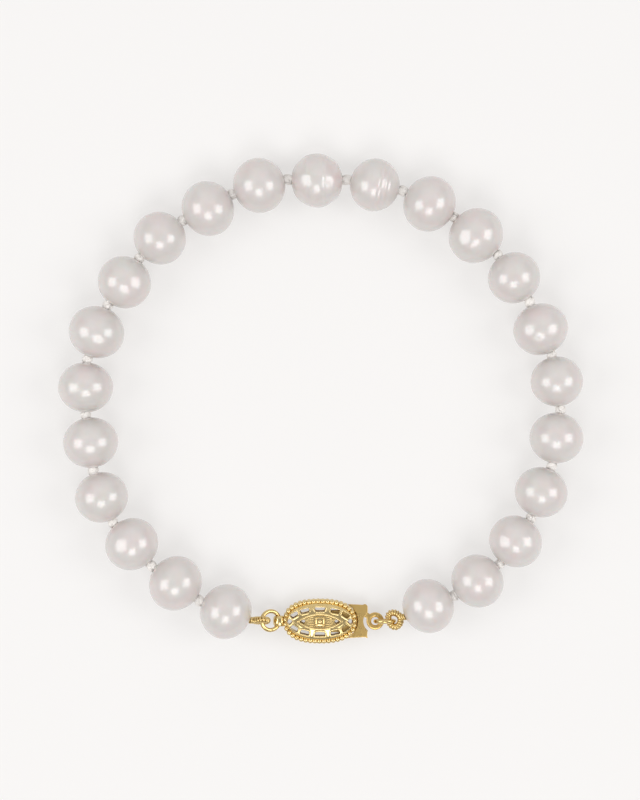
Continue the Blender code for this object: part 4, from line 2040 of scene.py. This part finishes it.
@dataclass
class Studio:
    """An opal acrylic floor, a long lens straight above, an even white room and four soft lights.

    Attributes:
        photo_width: The photograph's width, in pixels.
        photo_height: Its height.
        millimetres_per_pixel: How much of the bracelet's middle height one pixel covers.
        lens: Focal length, in millimetres.
        sensor: Width of the sensor, in millimetres.
        focus_height: Height of the pearls' middle, in millimetres.
        centre_shift: Where the photograph's centre lies, in millimetres.
        light_distance: How far the soft lights hang from the bracelet, in metres.
        world_colour: Colour of the even light from all sides.
        world_strength: Its strength.
        floor_half: Half the floor's width, in metres.
        softboxes: The soft lights.
    """

    photo_width: float = 640.0
    photo_height: float = 800.0
    millimetres_per_pixel: float = 0.13
    lens: float = 150.0
    sensor: float = 36.0
    focus_height: float = 3.4
    centre_shift: tuple[float, float] = (-0.115, -0.152)
    light_distance: float = 0.8
    world_colour: str = "#FBFAFC"
    world_strength: float = 0.42
    floor_half: float = 1.5
    softboxes: tuple[Softbox, ...] = (
        Softbox("softbox_left", (-0.76, -0.05, 0.65), 0.5, 2.5),
        Softbox("softbox_right", (0.77, 0.0, 0.64), 0.46, 2.4),
        Softbox("softbox_front", (0.0, -0.53, 0.85), 0.4, 1.95),
        Softbox("softbox_back", (0.0, 0.82, 0.57), 1.2, 2.1),
    )

    def build(self, acrylic: bpy.types.Material) -> None:
        """Builds the floor, the camera, the surrounding light and the softboxes.

        Args:
            acrylic: The floor's material.
        """
        self.floor(acrylic)
        self.camera()
        self.surround()
        for box in self.softboxes:
            self.light(box)

    def floor(self, acrylic: bpy.types.Material) -> None:
        """Lays the pale floor under the bracelet.

        Args:
            acrylic: The floor's material.
        """
        half = self.floor_half
        corners = [(-half, -half, 0), (half, -half, 0), (half, half, 0), (-half, half, 0)]
        floor = mesh_object("paper_sweep", corners, [(0, 1, 2, 3)], acrylic)

    def camera(self) -> None:
        """Hangs the camera straight above, so that the frame spans the photograph's width and height."""
        data = bpy.data.cameras.new("camera_above")
        data.lens = self.lens
        data.sensor_width = self.sensor
        span = max(self.photo_width, self.photo_height) * self.millimetres_per_pixel
        height = self.lens * span / self.sensor + self.focus_height
        data.clip_start = 0.01
        data.clip_end = 20.0
        view = bpy.data.objects.new("camera_above", data)
        view.location = (self.centre_shift[0] * MM, self.centre_shift[1] * MM, height * MM)
        bpy.context.scene.collection.objects.link(view)
        bpy.context.scene.camera = view

    def surround(self) -> None:
        """Lights everything evenly from all sides, as white studio walls do."""
        world = bpy.data.worlds.new("white_room")
        world.use_nodes = True
        tree = world.node_tree
        tree.nodes.clear()
        light = add_node(
            tree, "ShaderNodeBackground",
            {"Color": linear(self.world_colour), "Strength": self.world_strength},
        )
        add_node(tree, "ShaderNodeOutputWorld", {"Surface": light.outputs[0]})
        bpy.context.scene.world = world

    def light(self, box: Softbox) -> None:
        """Sets up one softbox that faces the bracelet.

        Args:
            box: The softbox.
        """
        data = bpy.data.lights.new(box.name, "AREA")
        data.shape = "SQUARE"
        data.size = box.size
        data.energy = box.power
        made = bpy.data.objects.new(box.name, data)
        direction = Vector(box.direction).normalized()
        made.location = direction * self.light_distance
        made.rotation_euler = direction.to_track_quat("Z", "Y").to_euler()
        bpy.context.scene.collection.objects.link(made)


def main() -> None:
    """Builds the studio and every piece of the bracelet in order."""
    logging.basicConfig(level=logging.INFO, format="%(name)s %(message)s")
    bpy.context.scene.view_settings.view_transform = "Standard"
    Studio().build(OpalAcrylic().build())
    places = PearlString().build(PearlNacre().build())
    KnottedSilk().build(places, TwistedSilk().build())
    ChainLinks().build(places, YellowGold(Metalwork.WIRE).build())
    clasp = ClaspPlace()
    ClaspHousing(clasp).build(YellowGold(Metalwork.CAST).build())
    ClaspHook(clasp).build(YellowGold(Metalwork.SHEET).build())


if __name__ == "__main__":
    main()
